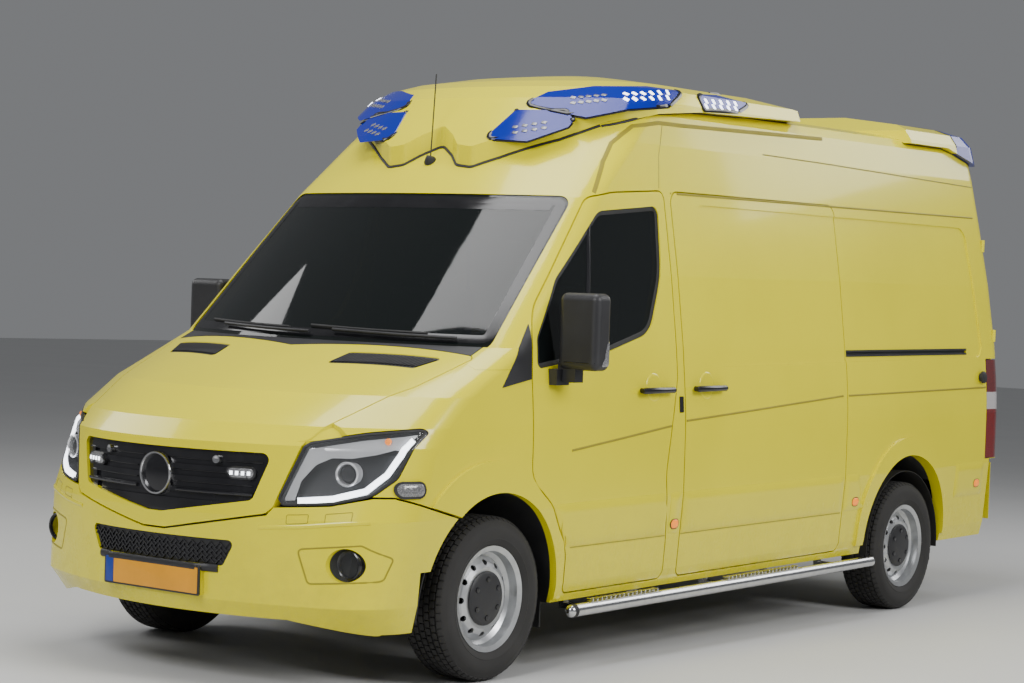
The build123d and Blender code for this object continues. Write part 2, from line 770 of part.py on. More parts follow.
lens_top = pod_shape(lens_proud)
lens_floor = pod_shape(lens_proud - lens_thick)
lens_seat = pod_shape(lens_proud - lens_thick - seat_gap)
pod_lenses = []
for name, inner_x, fore, aft, points in LENSES:
    reach = block(inner_x, far, fore, aft, 2100, 2800)
    lens = (lens_top & lens_prism(points, grow=-seat_gap) & reach) - lens_floor
    near_side = max(lens.solids(), key=lambda piece: piece.volume)
    pod_lenses += [near_side, other_side(near_side)]
    cut = (lens_prism(points) & reach) - lens_seat
    roof_pod_front -= cut
    roof_pod_front -= other_side(cut)

# Rear pod on the roof's end, its rear part a lamp
rear_rise = 44
rear_side = 25
rear_lamp_start = 4400
rear_shape = Pos(0, 0, rear_rise) * envelope(-rear_side)
rear_edge = across_prism(
    [(3850, 2470), (4300, 2470), (4650, 2385), (4650, 2700), (4250, 2700), (3850, 2540)], [0] * 6)
roof_pod_rear = (rear_shape & rear_edge) - roof_clear
rear_lamp = roof_pod_rear & block(-far, far, rear_lamp_start + seat_gap, 5000, 2000, 2900)
roof_pod_rear &= block(-far, far, 3000, rear_lamp_start, 2000, 2900)
blue_lenses = Compound(pod_lenses + rear_lamp.solids())

# Aerial on the roof front
aerial = rod((-10, 706, 2180), (-4, 724, 2590), 3)
aerial += Pos(-10, 706, 2190) * Sphere(20)
aerial -= roof_clear

# Tail lamps in the rear corners
lamp_sunk = 40
tail_lamp = layer(block(905, 1000, lamp_start, 4900, 728, 1285), outer, envelope(lamp_sunk))
tail_gap = layer(block(901, far, lamp_start - 4, 4900, 724, 1291), outside, envelope(lamp_sunk + seat_gap))
side_wall -= tail_gap
tail_lamps = both(tail_lamp)

# Rear bumper and step
bumper_tail = tail_end + 20
rear_bumper = plan_prism(
    [(-948, bumper_start), (948, bumper_start), (948, bumper_tail), (-948, bumper_tail)],
    [0, 0, 120, 120], 368, bumper_top)
rear_bumper -= plan_prism(
    [(-886, 4500), (886, 4500), (886, bumper_tail - 60), (-886, bumper_tail - 60)], [0, 0, 60, 60], 300, 690)
rear_bumper -= envelope(-seat_gap) & block(-far, far, 4000, tail_end - 75, 200, 900)
rear_bumper -= envelope(-seat_gap) & block(-far, far, tail_end - 85, 5000, 690.5, 900)
step_radius = 24
rear_step = rod((-560, bumper_tail + 90, 330), (560, bumper_tail + 90, 330), step_radius)
for x in (-400, 400):
    rear_step += block(x - 25, x + 25, 4685, bumper_tail + 90, 305, 345)
    rear_step += block(x - 25, x + 25, 4685, 4725, 305, load_floor - floor_thick - seat_gap)

# Side steps
step_x = 1010
step_z = 250
side_step = rod((step_x, 507, step_z), (step_x, 3190, step_z), 28)
side_step += Pos(step_x, 507, step_z) * Sphere(28)
side_step += Pos(step_x, 3190, step_z) * Sphere(28)
for s in (640, 1180, 1780, 2340, 2880):
    floor_above = cab_floor if s < bulkhead_at else load_floor
    side_step += block(860, step_x, s - 20, s + 20, step_z - 12, step_z + 12)
    side_step += block(860, 884, s - 20, s + 20, step_z - 12, floor_above - floor_thick - seat_gap)
side_steps = both(side_step)

# Under-body rails carry the axles, floors and steps
rail_x = 500
rail_half = 30
rail_bottom = 400
rail_top = cab_floor - floor_thick - seat_gap
load_bottom = load_floor - floor_thick - seat_gap
outrigger_bottom = 500
cross_places = (480, 1290, 2500, 3045, 4285, 4650)
rails = block(-480, 480, beam_front, beam_rear, rail_bottom, 560)
for x in (rail_x, -rail_x):
    rails += block(x - rail_half, x + rail_half, beam_rear - 20, 4710, rail_bottom, rail_top)
for s in cross_places:
    rails += block(-rail_x, rail_x, s - 30, s + 30, 470, 540)
    rails += block(rail_x, 905, s - 30, s + 30, outrigger_bottom, rail_top)
    rails += block(-905, -rail_x, s - 30, s + 30, outrigger_bottom, rail_top)
    if s > bulkhead_at:
        for x in (-rail_x, rail_x):
            rails += block(x - 30, x + 30, s - 30, s + 30, rail_top - 5, load_bottom)

jack_pad_half = 30
jack_pad_drop = 15
for x in (rail_x, -rail_x):
    rails += block(x - jack_pad_half, x + jack_pad_half, cross_places[0] - jack_pad_half,
                   cross_places[0] + jack_pad_half, rail_bottom - jack_pad_drop, rail_bottom)

# Wheel liners with flaps behind the wheels
liner_r = front_arch_radius + 2
liner = across_disc(0, front_axle_z, liner_r + liner_thick, 560, 962)
liner -= across_disc(0, front_axle_z, liner_r, 500, 1100)
liner &= block(500, 1000, -460, 500, front_axle_z - 60, 900)
liner &= envelope(skin + seat_gap)
flap_at = liner_r + liner_thick + seat_gap
flap_thick = 8
flap_low = 170
flap = block(700, 880, flap_at, flap_at + flap_thick, flap_low, front_axle_z + 60)
rear_flap = block(640, 880, 4128, 4128 + flap_thick, flap_low, load_bottom)
wheel_liners = both(liner)
mud_flaps = both(flap + rear_flap)

# Engine as one plain block on mounts between the rails
engine_rear = -150
engine_half = 300
engine_block = block(-engine_half, engine_half, engine_rear - 510, engine_rear, 420, 1000)
engine_block = fillet(engine_block.edges(), 40)
for side in (-1, 1):
    near_x = side * (engine_half + seat_gap)
    far_x = side * (rail_x - rail_half + 1)
    rails += block(min(near_x, far_x), max(near_x, far_x), -440, -360, 480, 520)

# Front axle: subframe, arms and struts, with eyes for the kingpins
axle_z = tyre_radius
subframe = block(-470, 470, -120, 120, 240, 320)
for side in (1, -1):
    arm = block(440, kingpin_x, -40, 40, 200, 240)
    arm += Pos(kingpin_x, 0, 220) * Cylinder(40, 40)
    arm -= Pos(kingpin_x, 0, 220) * Cylinder(kingpin_radius + running_fit, 60)
    arm += block(440, 470, -120, 120, 200, 320)
    top = Pos(kingpin_x, 0, 480) * Cylinder(34, 24)
    top += block(rail_x + rail_half + seat_gap, kingpin_x - 20, -26, 26, 468, 492)
    top += block(rail_x + rail_half + seat_gap, 560, -40, 40, 440, 500)
    top -= Pos(kingpin_x, 0, 480) * Cylinder(kingpin_radius + running_fit, 60)
    if side < 0:
        arm = other_side(arm)
        top = other_side(top)
    subframe += arm + top
post_top = rail_bottom - 100 * math.sin(math.radians(rake)) - seat_gap
for x in (-440, 440):
    subframe += block(x - 28, x + 28, -100, 100, 320, post_top)

knuckle = Pos(kingpin_x, 0, axle_z) * Box(70, 90, 120)
knuckle += Pos(kingpin_x, 0, 270) * Cylinder(30, 60)
knuckle += Pos(kingpin_x, 0, 430) * Cylinder(30, 70)
knuckle += rod((kingpin_x, 0, 203), (kingpin_x, 0, 490), kingpin_radius)
knuckle += rod((kingpin_x, 0, axle_z), (rim_offset + track / 2 - 8, 0, axle_z), stub_radius)
knuckle += across_disc(0, axle_z, 150, 840, 848)

# Wheels: rim and tyre turned about X at the left front hub
hub_x = track / 2
disc_x = hub_x + rim_offset


def turned(points):
    """Solid turned about the axle line from (sideways, outwards) points."""
    face = make_face(Polyline(*points, close=True))
    return revolve(face, axis=Axis.X, revolution_arc=360)


half_rim = rim_width / 2
RIM = (
    (hub_x - half_rim - 12, flange_radius),
    (hub_x - half_rim - 6, flange_radius),
    (hub_x - half_rim, rim_radius),
    (hub_x - 40, rim_radius - 4),
    (hub_x - 20, rim_radius - 22),
    (hub_x + 30, rim_radius - 22),
    (hub_x + 46, rim_radius - 4),
    (hub_x + half_rim, rim_radius),
    (hub_x + half_rim + 6, flange_radius),
    (hub_x + half_rim + 12, flange_radius),
    (hub_x + half_rim + 4, rim_radius - 5),
    (hub_x + 48, rim_radius - 9),
    (hub_x + 34, rim_radius - 27),
    (disc_x - 2, 150),
    (disc_x + 8, 128),
    (disc_x + 2, 90),
    (disc_x + 14, 84),
    (disc_x + 14, 0),
    (disc_x - 6, 0),
    (disc_x - 6, stub_radius + running_fit),
    (disc_x - 62, stub_radius + running_fit),
    (disc_x - 62, 60),
    (disc_x - 14, 70),
    (disc_x - 4, 126),
    (disc_x - 12, 146),
    (hub_x + 24, rim_radius - 27),
    (hub_x - 22, rim_radius - 27),
    (hub_x - 44, rim_radius - 9),
    (hub_x - half_rim - 4, rim_radius - 5),
)
rim = turned(RIM)
vent_count = 12
for turn in range(vent_count):
    rim -= Rot(turn * 360 / vent_count, 0, 0) * Pos(disc_x - 6, 0, 148) * Rot(0, 70, 0) * Cylinder(13, 60)

half_tyre = tyre_width / 2
TYRE = (
    (hub_x - half_rim + 1, rim_radius + seat_gap),
    (hub_x - half_rim - 5, flange_radius + 2),
    (hub_x - half_tyre, 276),
    (hub_x - half_tyre + 6, 306),
    (hub_x - half_tyre + 22, tyre_radius - 8),
    (hub_x - half_tyre + 40, tyre_radius),
    (hub_x + half_tyre - 40, tyre_radius),
    (hub_x + half_tyre - 22, tyre_radius - 8),
    (hub_x + half_tyre - 6, 306),
    (hub_x + half_tyre, 276),
    (hub_x + half_rim + 5, flange_radius + 2),
    (hub_x + half_rim - 1, rim_radius + seat_gap),
    (hub_x + half_rim - 20, rim_radius + seat_gap),
    (hub_x + half_tyre - 22, 300),
    (hub_x - half_tyre + 22, 300),
    (hub_x - half_rim + 20, rim_radius + seat_gap),
)
tyre = turned(TYRE)

# Rear axle with leaf springs, on the same stubs
axle_reach = disc_x - 8
rear_axle = across_disc(0, 0, 42, -740, 740)
rear_axle += across_disc(0, 0, stub_radius, -axle_reach, axle_reach)
rear_axle += Sphere(120) & block(-200, 200, -130, 130, -130, 130)
for x in (-568, 568):
    rear_axle += block(x - 35, x + 35, -640, 640, 45, 75)
    rear_axle += block(x - 40, x + 40, -60, 60, 0, 60)
    for y in (-620, 620):
        top = road_height(wheelbase + y, outrigger_bottom) - tyre_radius - 2 * seat_gap
        rear_axle += block(x - 35, x + 35, y - 20, y + 20, 60, top)

driveline = rod((0, engine_rear + seat_gap, 450), (0, rear_axle_s - 118, rear_axle_z + 30), 34)
fuel_tank = fillet(block(-430, -120, 1400, 2350, 290, 468).edges(), 30)
for s in (1450, 2300):
    fuel_tank += block(-300, -240, s - 15, s + 15, 440, load_bottom)
exhaust = rod((250, engine_rear + 2, 470), (250, 1600, 385), 28)
exhaust += rod((250, 1600, 385), (250, 2700, 370), 28)
exhaust += fillet(block(160, 340, 1500, 2150, 310, 440).edges(), 30)
exhaust += block(240, 260, 2450, 2550, 380, 469.7)

# Exports
front_door_left = front_door + handle(1011, 1276)
sliding_doors = both(slider + handle(1460, 1722))
rear_pane = rear_prism(points_of(REAR_WINDOW), radii_of(REAR_WINDOW), grow=-seat_gap)
rear_glass = layer(rear_pane, envelope(glass_depth), envelope(glass_depth + 5))

BODYWORK = {
    "roof": roof,
    "side_walls": both(side_wall),
    "floor_pan": floor_pan,
    "front_wings": both(wing),
    "scuttle": scuttle,
    "windscreen": windscreen,
    "bumper_front": bumper,
    "bumper_grille": bumper_grille,
    "fog_lamps": fog_lamps,
    "headlamps": headlamps,
    "headlamp_lenses": headlamp_lenses,
    "bulkhead": bulkhead,
    "dashboard": dashboard,
    "cab_seats": seats,
    "sliding_doors": sliding_doors,
    "slider_rails": slider_rails,
    "bumper_rear": rear_bumper,
    "rear_step": rear_step,
    "tail_lamps": tail_lamps,
    "roof_pod_front": roof_pod_front,
    "roof_pod_rear": roof_pod_rear,
    "blue_lenses": blue_lenses,
    "aerial": aerial,
    "side_steps": side_steps,
    "wheel_liners": wheel_liners,
    "mud_flaps": mud_flaps,
    "chassis_rails": rails,
    "engine_block": engine_block,
    "driveline": driveline,
    "fuel_tank": fuel_tank,
    "exhaust": exhaust,
    "steering_wheel": steering_wheel,
    "bonnet": bonnet,
    "grille": grille,
    "bonnet_vents": bonnet_vents,
    "front_door_left": front_door_left,
    "front_door_right": other_side(front_door_left),
    "door_glass_left": door_glass,
    "door_glass_right": other_side(door_glass),
    "mirror_left": mirror_left,
    "mirror_right": other_side(mirror_left),
    "rear_door_left": rear_door,
    "rear_door_right": other_side(rear_door),
    "rear_glass_left": rear_glass,
    "rear_glass_right": other_side(rear_glass),
}
front_left = Pos(0, 0, tyre_radius)
rear_left = Pos(0, wheelbase, tyre_radius)
RUNNING = {
    "front_subframe": subframe,
    "knuckle_left": knuckle,
    "knuckle_right": other_side(knuckle),
    "rear_axle": rear_left * rear_axle,
    "rim_front_left": front_left * rim,
    "rim_front_right": other_side(front_left * rim),
    "rim_rear_left": rear_left * rim,
    "rim_rear_right": other_side(rear_left * rim),
    "tyre_front_left": front_left * tyre,
    "tyre_front_right": other_side(front_left * tyre),
    "tyre_rear_left": rear_left * tyre,
    "tyre_rear_right": other_side(rear_left * tyre),
}

os.makedirs("parts", exist_ok=True)
for name, shape in BODYWORK.items():
    export_step(seated(shape), f"parts/{name}.step")
for name, shape in RUNNING.items():
    export_step(level(shape), f"parts/{name}.step")
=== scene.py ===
"""Looks of a high-roof panel van ambulance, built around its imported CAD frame.

Metres throughout, +X to the vehicle's left, +Y rearwards, +Z up; the front faces -Y.
"""

import json
import logging
import math
from dataclasses import dataclass
from enum import Enum
from typing import Iterable, Optional, Sequence

import bmesh
import bpy
from mathutils import Matrix, Vector, geometry
from mathutils.bvhtree import BVHTree


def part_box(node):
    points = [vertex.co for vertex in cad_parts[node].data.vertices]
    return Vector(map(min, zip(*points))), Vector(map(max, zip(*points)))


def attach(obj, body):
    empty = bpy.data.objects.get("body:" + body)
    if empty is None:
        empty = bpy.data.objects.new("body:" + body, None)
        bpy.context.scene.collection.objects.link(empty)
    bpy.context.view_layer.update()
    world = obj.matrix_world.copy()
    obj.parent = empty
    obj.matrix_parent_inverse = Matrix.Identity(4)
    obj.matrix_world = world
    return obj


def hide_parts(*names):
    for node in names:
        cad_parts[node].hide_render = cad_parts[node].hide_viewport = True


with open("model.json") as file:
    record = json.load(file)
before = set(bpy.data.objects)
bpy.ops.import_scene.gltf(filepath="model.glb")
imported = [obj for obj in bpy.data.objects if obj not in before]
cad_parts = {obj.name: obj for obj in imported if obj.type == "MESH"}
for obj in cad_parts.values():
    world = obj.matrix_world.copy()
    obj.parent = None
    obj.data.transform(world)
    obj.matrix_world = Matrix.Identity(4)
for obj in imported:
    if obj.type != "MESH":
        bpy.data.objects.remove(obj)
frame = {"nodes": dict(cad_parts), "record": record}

LOG = logging.getLogger("ambulance")
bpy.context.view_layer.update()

Obj = bpy.types.Object
Socket = bpy.types.NodeSocket
Pair = tuple[float, float]
Spot = tuple[Vector, Vector, Vector]


# Shader maths

def wire(tree: bpy.types.NodeTree, socket: Socket, value: object) -> None:
    """Links an input socket to a value, or sets it.

    Args:
        tree: the node tree.
        socket: the input.
        value: a Maths value or a socket to link, or a number or colour to set.
    """
    plain = value.socket if isinstance(value, Maths) else value
    if isinstance(plain, Socket):
        tree.links.new(plain, socket)
    else:
        socket.default_value = (*plain, 1.0) if isinstance(plain, tuple) else plain


class Maths:
    """A shader socket that can be used in plain arithmetic.

    Args:
        tree: the node tree that the socket belongs to.
        socket: an output socket.
    """

    def __init__(self, tree: bpy.types.NodeTree, socket: Socket) -> None:
        """Keeps the tree and the socket."""
        self.tree, self.socket = tree, socket

    def _join(self, operation: str, *values: object) -> "Maths":
        """One maths node on sockets and numbers.

        Args:
            operation: what the node does.
            values: its inputs in order.

        Returns:
            The output, wrapped.
        """
        node = self.tree.nodes.new("ShaderNodeMath")
        node.operation = operation
        for socket, value in zip(node.inputs, values):
            wire(self.tree, socket, value)
        return Maths(self.tree, node.outputs[0])

    def __add__(self, other: object) -> "Maths":
        """Sum."""
        return self._join("ADD", self, other)

    def __radd__(self, other: object) -> "Maths":
        """Sum with a number first."""
        return self._join("ADD", other, self)

    def __sub__(self, other: object) -> "Maths":
        """Difference."""
        return self._join("SUBTRACT", self, other)

    def __rsub__(self, other: object) -> "Maths":
        """Difference from a number."""
        return self._join("SUBTRACT", other, self)

    def __mul__(self, other: object) -> "Maths":
        """Product."""
        return self._join("MULTIPLY", self, other)

    def __rmul__(self, other: object) -> "Maths":
        """Product with a number first."""
        return self._join("MULTIPLY", other, self)

    def ramp(self, low: float, high: float) -> "Maths":
        """Zero at low, one at high, straight between and held outside.

        Args:
            low: where it starts to rise.
            high: where it is full.

        Returns:
            The share from 0 to 1.
        """
        node = self.tree.nodes.new("ShaderNodeMapRange")
        for name, value in (("Value", self), ("From Min", low), ("From Max", high)):
            wire(self.tree, node.inputs[name], value)
        return Maths(self.tree, node.outputs["Result"])

    def wave(self) -> "Maths":
        """Sine."""
        return self._join("SINE", self)


class Graph:
    """A material's node tree with short ways to make its nodes.

    Args:
        name: the material's name.
    """

    def __init__(self, name: str) -> None:
        """Makes the material with its shader."""
        self.material = bpy.data.materials.new(name)
        self.material.use_nodes = True
        self.tree = self.material.node_tree
        self.shader = self.tree.nodes["Principled BSDF"]

    def node(self, kind: str, output: str, **inputs: object) -> Maths:
        """A node of a kind, with sockets linked or set by name.

        Args:
            kind: the node's type.
            output: the output that is used.
            inputs: values of its sockets, with _ for a space.

        Returns:
            The output, wrapped.
        """
        made = self.tree.nodes.new(kind)
        for key, value in inputs.items():
            wire(self.tree, made.inputs[key.replace("_", " ")], value)
        return Maths(self.tree, made.outputs[output])

    def place(self) -> Maths:
        """The object's own coordinates, in metres."""
        return self.node("ShaderNodeTexCoord", "Object")

    def axis(self, name: str) -> Maths:
        """One coordinate of the place, as X, Y or Z."""
        return self.node("ShaderNodeSeparateXYZ", name, Vector=self.place())

    def noise(self, scale: float, detail: float = 3.0, rough: float = 0.55) -> Maths:
        """Cloudy noise from 0 to 1 at a scale per metre."""
        return self.node("ShaderNodeTexNoise", "Fac", Vector=self.place(), Scale=scale, Detail=detail,
                         Roughness=rough)

    def cells(self, scale: float) -> Maths:
        """Distance to the nearest of scattered points."""
        return self.node("ShaderNodeTexVoronoi", "Distance", Vector=self.place(), Scale=scale)

    def blend(self, factor: Maths, low: object, high: object) -> Socket:
        """Colour between two colours, each plain or linked.

        Args:
            factor: 0 for the low colour and 1 for the high one.
            low: a colour or a socket.
            high: a colour or a socket.

        Returns:
            The blended colour.
        """
        made = self.tree.nodes.new("ShaderNodeMix")
        made.data_type = "RGBA"
        for socket, value in ((made.inputs["Factor"], factor), (made.inputs[6], low), (made.inputs[7], high)):
            wire(self.tree, socket, value)
        return made.outputs[2]

    def feed(self, name: str, value: object) -> None:
        """Sets or links one of the shader's sockets."""
        wire(self.tree, self.shader.inputs[name], value)

    def bump(self, height: Maths, strength: float, distance: float) -> None:
        """A bump from a height, linked to the shader's normal."""
        self.feed("Normal", self.node("ShaderNodeBump", "Normal", Strength=strength, Distance=distance, Height=height))

    def set(self, **values: float) -> None:
        """Constants set straight on the shader's sockets."""
        for key, value in values.items():
            self.feed(key.replace("_", " "), value)


# Finishes

class Slot(Enum):
    """Material slots of the record."""

    PAINT = "body_paint"
    INNER = "inner_paint"
    BLACK = "black_plastic"
    GLOSS = "gloss_black"
    CLEAR = "clear_glass"
    DARK = "dark_glass"
    LAMP = "lamp_clear"
    BOWL = "lamp_dark"
    RED = "lamp_red"
    BLUE = "lamp_blue"
    STEEL = "steel_silver"
    STAINLESS = "stainless"
    TYRE = "tyre"
    RUBBER = "rubber"
    UNDER = "dark_metal"
    ALLOY = "alloy"
    CABIN = "cab_plastic"
    FABRIC = "cab_fabric"


@dataclass(frozen=True)
class Finish:
    """A surface finish: one colour and gloss, with small procedural variation.

    Args:
        name: the material's name.
        slot: the record's slot that it belongs to.
        colour: base colour, linear.
        gloss: roughness from 0 to 1.
        metal: metallic weight.
    """

    name: str
    slot: Slot
    colour: tuple[float, float, float]
    gloss: float = 0.5
    metal: float = 0.0

    def build(self) -> bpy.types.Material:
        """Makes the material."""
        graph = Graph(self.name)
        graph.set(Metallic=self.metal)
        self.dress(graph)
        return graph.material

    def shade(self, gain: float, lift: float = 0.0) -> tuple[float, ...]:
        """The colour made stronger or weaker."""
        return tuple(c * gain + lift for c in self.colour)

    def dress(self, graph: Graph) -> None:
        """Colour and roughness with a slow mottle."""
        mottle = graph.noise(9.0)
        graph.feed("Base Color", graph.blend(mottle.ramp(0.3, 0.75), self.colour, self.shade(0.86)))
        graph.feed("Roughness", self.gloss + (mottle - 0.5) * 0.12)


@dataclass(frozen=True)
class Paint(Finish):
    """Gloss paint under a clear coat, darker and rougher in blotches low down.

    Args:
        hem_height: height in metres up to which the darker, rougher blotches reach.
    """

    hem_height: float = 0.75

    def dress(self, graph: Graph) -> None:
        """Even colour, faint peel in the coat and a blotchy hem that is darker and rougher towards the bottom."""
        tint = graph.blend(graph.noise(1.6, 2.0).ramp(0.35, 0.7), self.colour, self.shade(0.95))
        hem = (1.0 - graph.axis("Z").ramp(0.22, self.hem_height)) * graph.noise(14.0, 6.0, 0.7).ramp(0.42, 0.9)
        graph.feed("Base Color", graph.blend(hem * 0.35, tint, (0.30, 0.26, 0.03)))
        graph.feed("Roughness", self.gloss + hem * 0.3)
        graph.bump(graph.noise(420.0, 1.0), 0.02, 0.0004)
        graph.set(Coat_Weight=0.4, Coat_Roughness=0.06, IOR=1.4)


@dataclass(frozen=True)
class Grain(Finish):
    """Moulded plastic or rubber with a fine grain.

    Args:
        pitch: grains per metre.
        depth: grain depth in metres.
    """

    pitch: float = 900.0
    depth: float = 0.0003

    def dress(self, graph: Graph) -> None:
        """Grain bump and a slow change of gloss."""
        cloud = graph.noise(7.0, 4.0)
        graph.feed("Base Color", graph.blend(cloud.ramp(0.4, 0.85), self.colour, self.shade(1.5, 0.004)))
        graph.feed("Roughness", self.gloss + (cloud - 0.5) * 0.15)
        graph.bump(graph.noise(self.pitch, 2.0), 0.35, self.depth)


@dataclass(frozen=True)
class Metal(Finish):
    """Metal with fine scratches and slightly uneven shine."""

    def dress(self, graph: Graph) -> None:
        """Streaked roughness and small scratches."""
        cloud = graph.noise(26.0, 5.0)
        graph.feed("Base Color", graph.blend(cloud.ramp(0.35, 0.8), self.colour, self.shade(0.8)))
        graph.feed("Roughness", self.gloss + (cloud - 0.45) * 0.2)
        graph.bump(graph.noise(700.0, 2.0), 0.08, 0.0002)


@dataclass(frozen=True)
class Pane(Finish):
    """Glass or a lens that is seen through.

    Args:
        cover: how much of what lies behind is covered, from 0 to 1.
        coat: weight of the clear coat.
    """

    cover: float = 0.3
    coat: float = 0.35

    def dress(self, graph: Graph) -> None:
        """Clear, with a faint film of dust."""
        film = graph.noise(3.0, 5.0).ramp(0.45, 0.9)
        graph.feed("Base Color", self.colour)
        graph.feed("Roughness", self.gloss + film * 0.05)
        graph.feed("Alpha", film * 0.05 + self.cover)
        graph.set(IOR=1.35, Coat_Weight=self.coat, Coat_Roughness=0.02)


@dataclass(frozen=True)
class Glow(Finish):
    """A lit lamp face.

    Args:
        power: emission strength.
    """

    power: float = 2.0

    def dress(self, graph: Graph) -> None:
        """Light from the base colour, with cells like small lenses."""
        graph.feed("Base Color", self.colour)
        facets = graph.cells(260.0).ramp(0.0, 0.6)
        graph.feed("Emission Color", graph.blend(facets, self.colour, self.shade(0.75)))
        graph.set(Emission_Strength=self.power, Roughness=self.gloss)


@dataclass(frozen=True)
class Prism(Finish):
    """Coloured lamp lens with moulded cells."""

    def dress(self, graph: Graph) -> None:
        """Cells in colour and bump under a clear coat."""
        facets = graph.cells(190.0)
        plain = graph.blend(facets.ramp(0.1, 0.6), self.colour, self.shade(0.45))
        graph.feed("Base Color", self.tint(graph, plain))
        graph.bump(facets, 0.25, 0.002)
        graph.set(Roughness=self.gloss, Coat_Weight=1.0, Coat_Roughness=0.03)

    def tint(self, graph: Graph, plain: Socket) -> Socket:
        """The cells' colour as it is."""
        return plain


@dataclass(frozen=True)
class Banded(Prism):
    """Tail lamp lens: red, with a pale band between two heights and a darker top.

    Args:
        low: the band's lower height.
        high: the band's upper height.
    """

    low: float = 1.070
    high: float = 1.167

    def tint(self, graph: Graph, plain: Socket) -> Socket:
        """Bands over the moulded cells."""
        height = graph.axis("Z")
        for edge, colour in ((self.low, (0.50, 0.47, 0.47)), (self.high, (0.12, 0.003, 0.003))):
            plain = graph.blend(height.ramp(edge - 0.001, edge), plain, colour)
        return plain


@dataclass(frozen=True)
class Weave(Finish):
    """Woven seat cover.

    Args:
        pitch: threads per metre.
    """

    pitch: float = 420.0

    def dress(self, graph: Graph) -> None:
        """Crossed threads in colour and bump."""
        turn = 2.0 * math.pi * self.pitch
        threads = (graph.axis("X") * turn).wave() * (graph.axis("Z") * turn).wave() * 0.5 + 0.5
        graph.feed("Base Color", graph.blend(threads, self.colour, self.shade(2.2, 0.01)))
        graph.bump(threads, 0.4, 0.0005)
        graph.set(Roughness=self.gloss, Sheen_Weight=0.3)


class Look:
    """All finishes of the vehicle, built once and shared by name."""

    TABLE = (
        Paint("paint_yellow", Slot.PAINT, (0.80, 0.71, 0.0), 0.24),
        # Body yellow darkened: painted shade in creases, the gutter and recess outlines; along seams it is also the
        # dark of the joint.
        Finish("paint_groove", Slot.PAINT, (0.30, 0.25, 0.004), 0.6),
        Finish("paint_inner", Slot.INNER, (0.045, 0.046, 0.048), 0.55),
        Grain("moulding_black", Slot.BLACK, (0.016, 0.016, 0.018), 0.48),
        Grain("gloss_black", Slot.GLOSS, (0.010, 0.010, 0.012), 0.18, depth=0.0001),
        # Clear glass with a near-black colour covering most of what lies behind: painted shade of the dim cab inside.
        Pane("glass_clear", Slot.CLEAR, (0.006, 0.008, 0.008), 0.03, cover=0.78),
        Pane("glass_dark", Slot.DARK, (0.008, 0.009, 0.010), 0.03, cover=0.93),
        Grain("glass_border", Slot.GLOSS, (0.006, 0.006, 0.007), 0.12, depth=0.00005),
        Pane("lens_clear", Slot.LAMP, (0.30, 0.31, 0.32), 0.03, cover=0.07),
        Banded("lens_red", Slot.RED, (0.30, 0.004, 0.004), 0.12),
        Prism("lens_white", Slot.LAMP, (0.30, 0.30, 0.31), 0.15),
        Pane("lens_blue", Slot.BLUE, (0.004, 0.016, 0.30), 0.10, cover=0.93, coat=0.12),
        Finish("lamp_bowl", Slot.STAINLESS, (0.85, 0.86, 0.88), 0.25, 0.6),
        Finish("lamp_dark", Slot.BOWL, (0.030, 0.031, 0.034), 0.35, 0.4),
        Glow("led_white", Slot.LAMP, (0.90, 0.94, 1.0), 0.3, power=5.0),
        Glow("led_amber", Slot.RED, (1.0, 0.26, 0.01), 0.3, power=0.7),
        Metal("wheel_silver", Slot.STEEL, (0.56, 0.57, 0.58), 0.34, 0.85),
        Metal("stainless", Slot.STAINLESS, (0.66, 0.66, 0.67), 0.18, 1.0),
        Metal("mirror_glass", Slot.STAINLESS, (0.85, 0.86, 0.88), 0.02, 1.0),
        Grain("tyre_rubber", Slot.TYRE, (0.020, 0.019, 0.018), 0.78, pitch=300.0, depth=0.0006),
        Grain("rubber", Slot.RUBBER, (0.012, 0.012, 0.012), 0.62),
        Finish("underbody", Slot.UNDER, (0.035, 0.034, 0.033), 0.6, 0.3),
        Metal("alloy", Slot.ALLOY, (0.42, 0.43, 0.44), 0.5, 0.7),
        Grain("cabin_moulding", Slot.CABIN, (0.032, 0.032, 0.035), 0.58, pitch=600.0),
        Weave("seat_cover", Slot.FABRIC, (0.028, 0.028, 0.032), 0.85),
        Finish("plate_orange", Slot.PAINT, (0.80, 0.34, 0.003), 0.45),
        Finish("plate_blue", Slot.BLUE, (0.01, 0.04, 0.30), 0.4),
    )

    def __init__(self) -> None:
        """Builds every finish of the table."""
        self.made = {finish.name: finish.build() for finish in self.TABLE}
        self.slots = {finish.name: finish.slot.value for finish in self.TABLE}

    def put(self, obj: Obj, name: str) -> None:
        """Gives an object one finish.

        Args:
            obj: a mesh object.
            name: a finish of the table.
        """
        obj.data.materials.clear()
        obj.data.materials.append(self.made[name])


# Places

@dataclass(frozen=True)
class Stance:
    """How the bodywork sits over the road.

    Args:
        axle_y: the front axle's place along the vehicle.
        rake: nose-down lean in degrees.
    """

    axle_y: float = -1.9606
    rake: float = 0.8

    def point(self, x: float, s: float, z: float) -> Vector:
        """A place on the bodywork: sideways, rearwards of the front axle, up.

        Args:
            x: sideways place.
            s: place rearwards of the front axle.
            z: height.

        Returns:
            The place in the world.
        """
        turn = math.radians(self.rake)
        return Vector((x, s * math.cos(turn) - z * math.sin(turn) + self.axle_y,
                       s * math.sin(turn) + z * math.cos(turn)))

    def turn(self) -> Matrix:
        """The lean as a matrix."""
        return Matrix.Rotation(math.radians(self.rake), 3, "X")


class View(Enum):
    """Sides from which flat outlines are laid on the body."""

    LEFT = "left"
    FRONT = "front"
    REAR = "rear"
    TOP = "top"
    LENS = "lens"


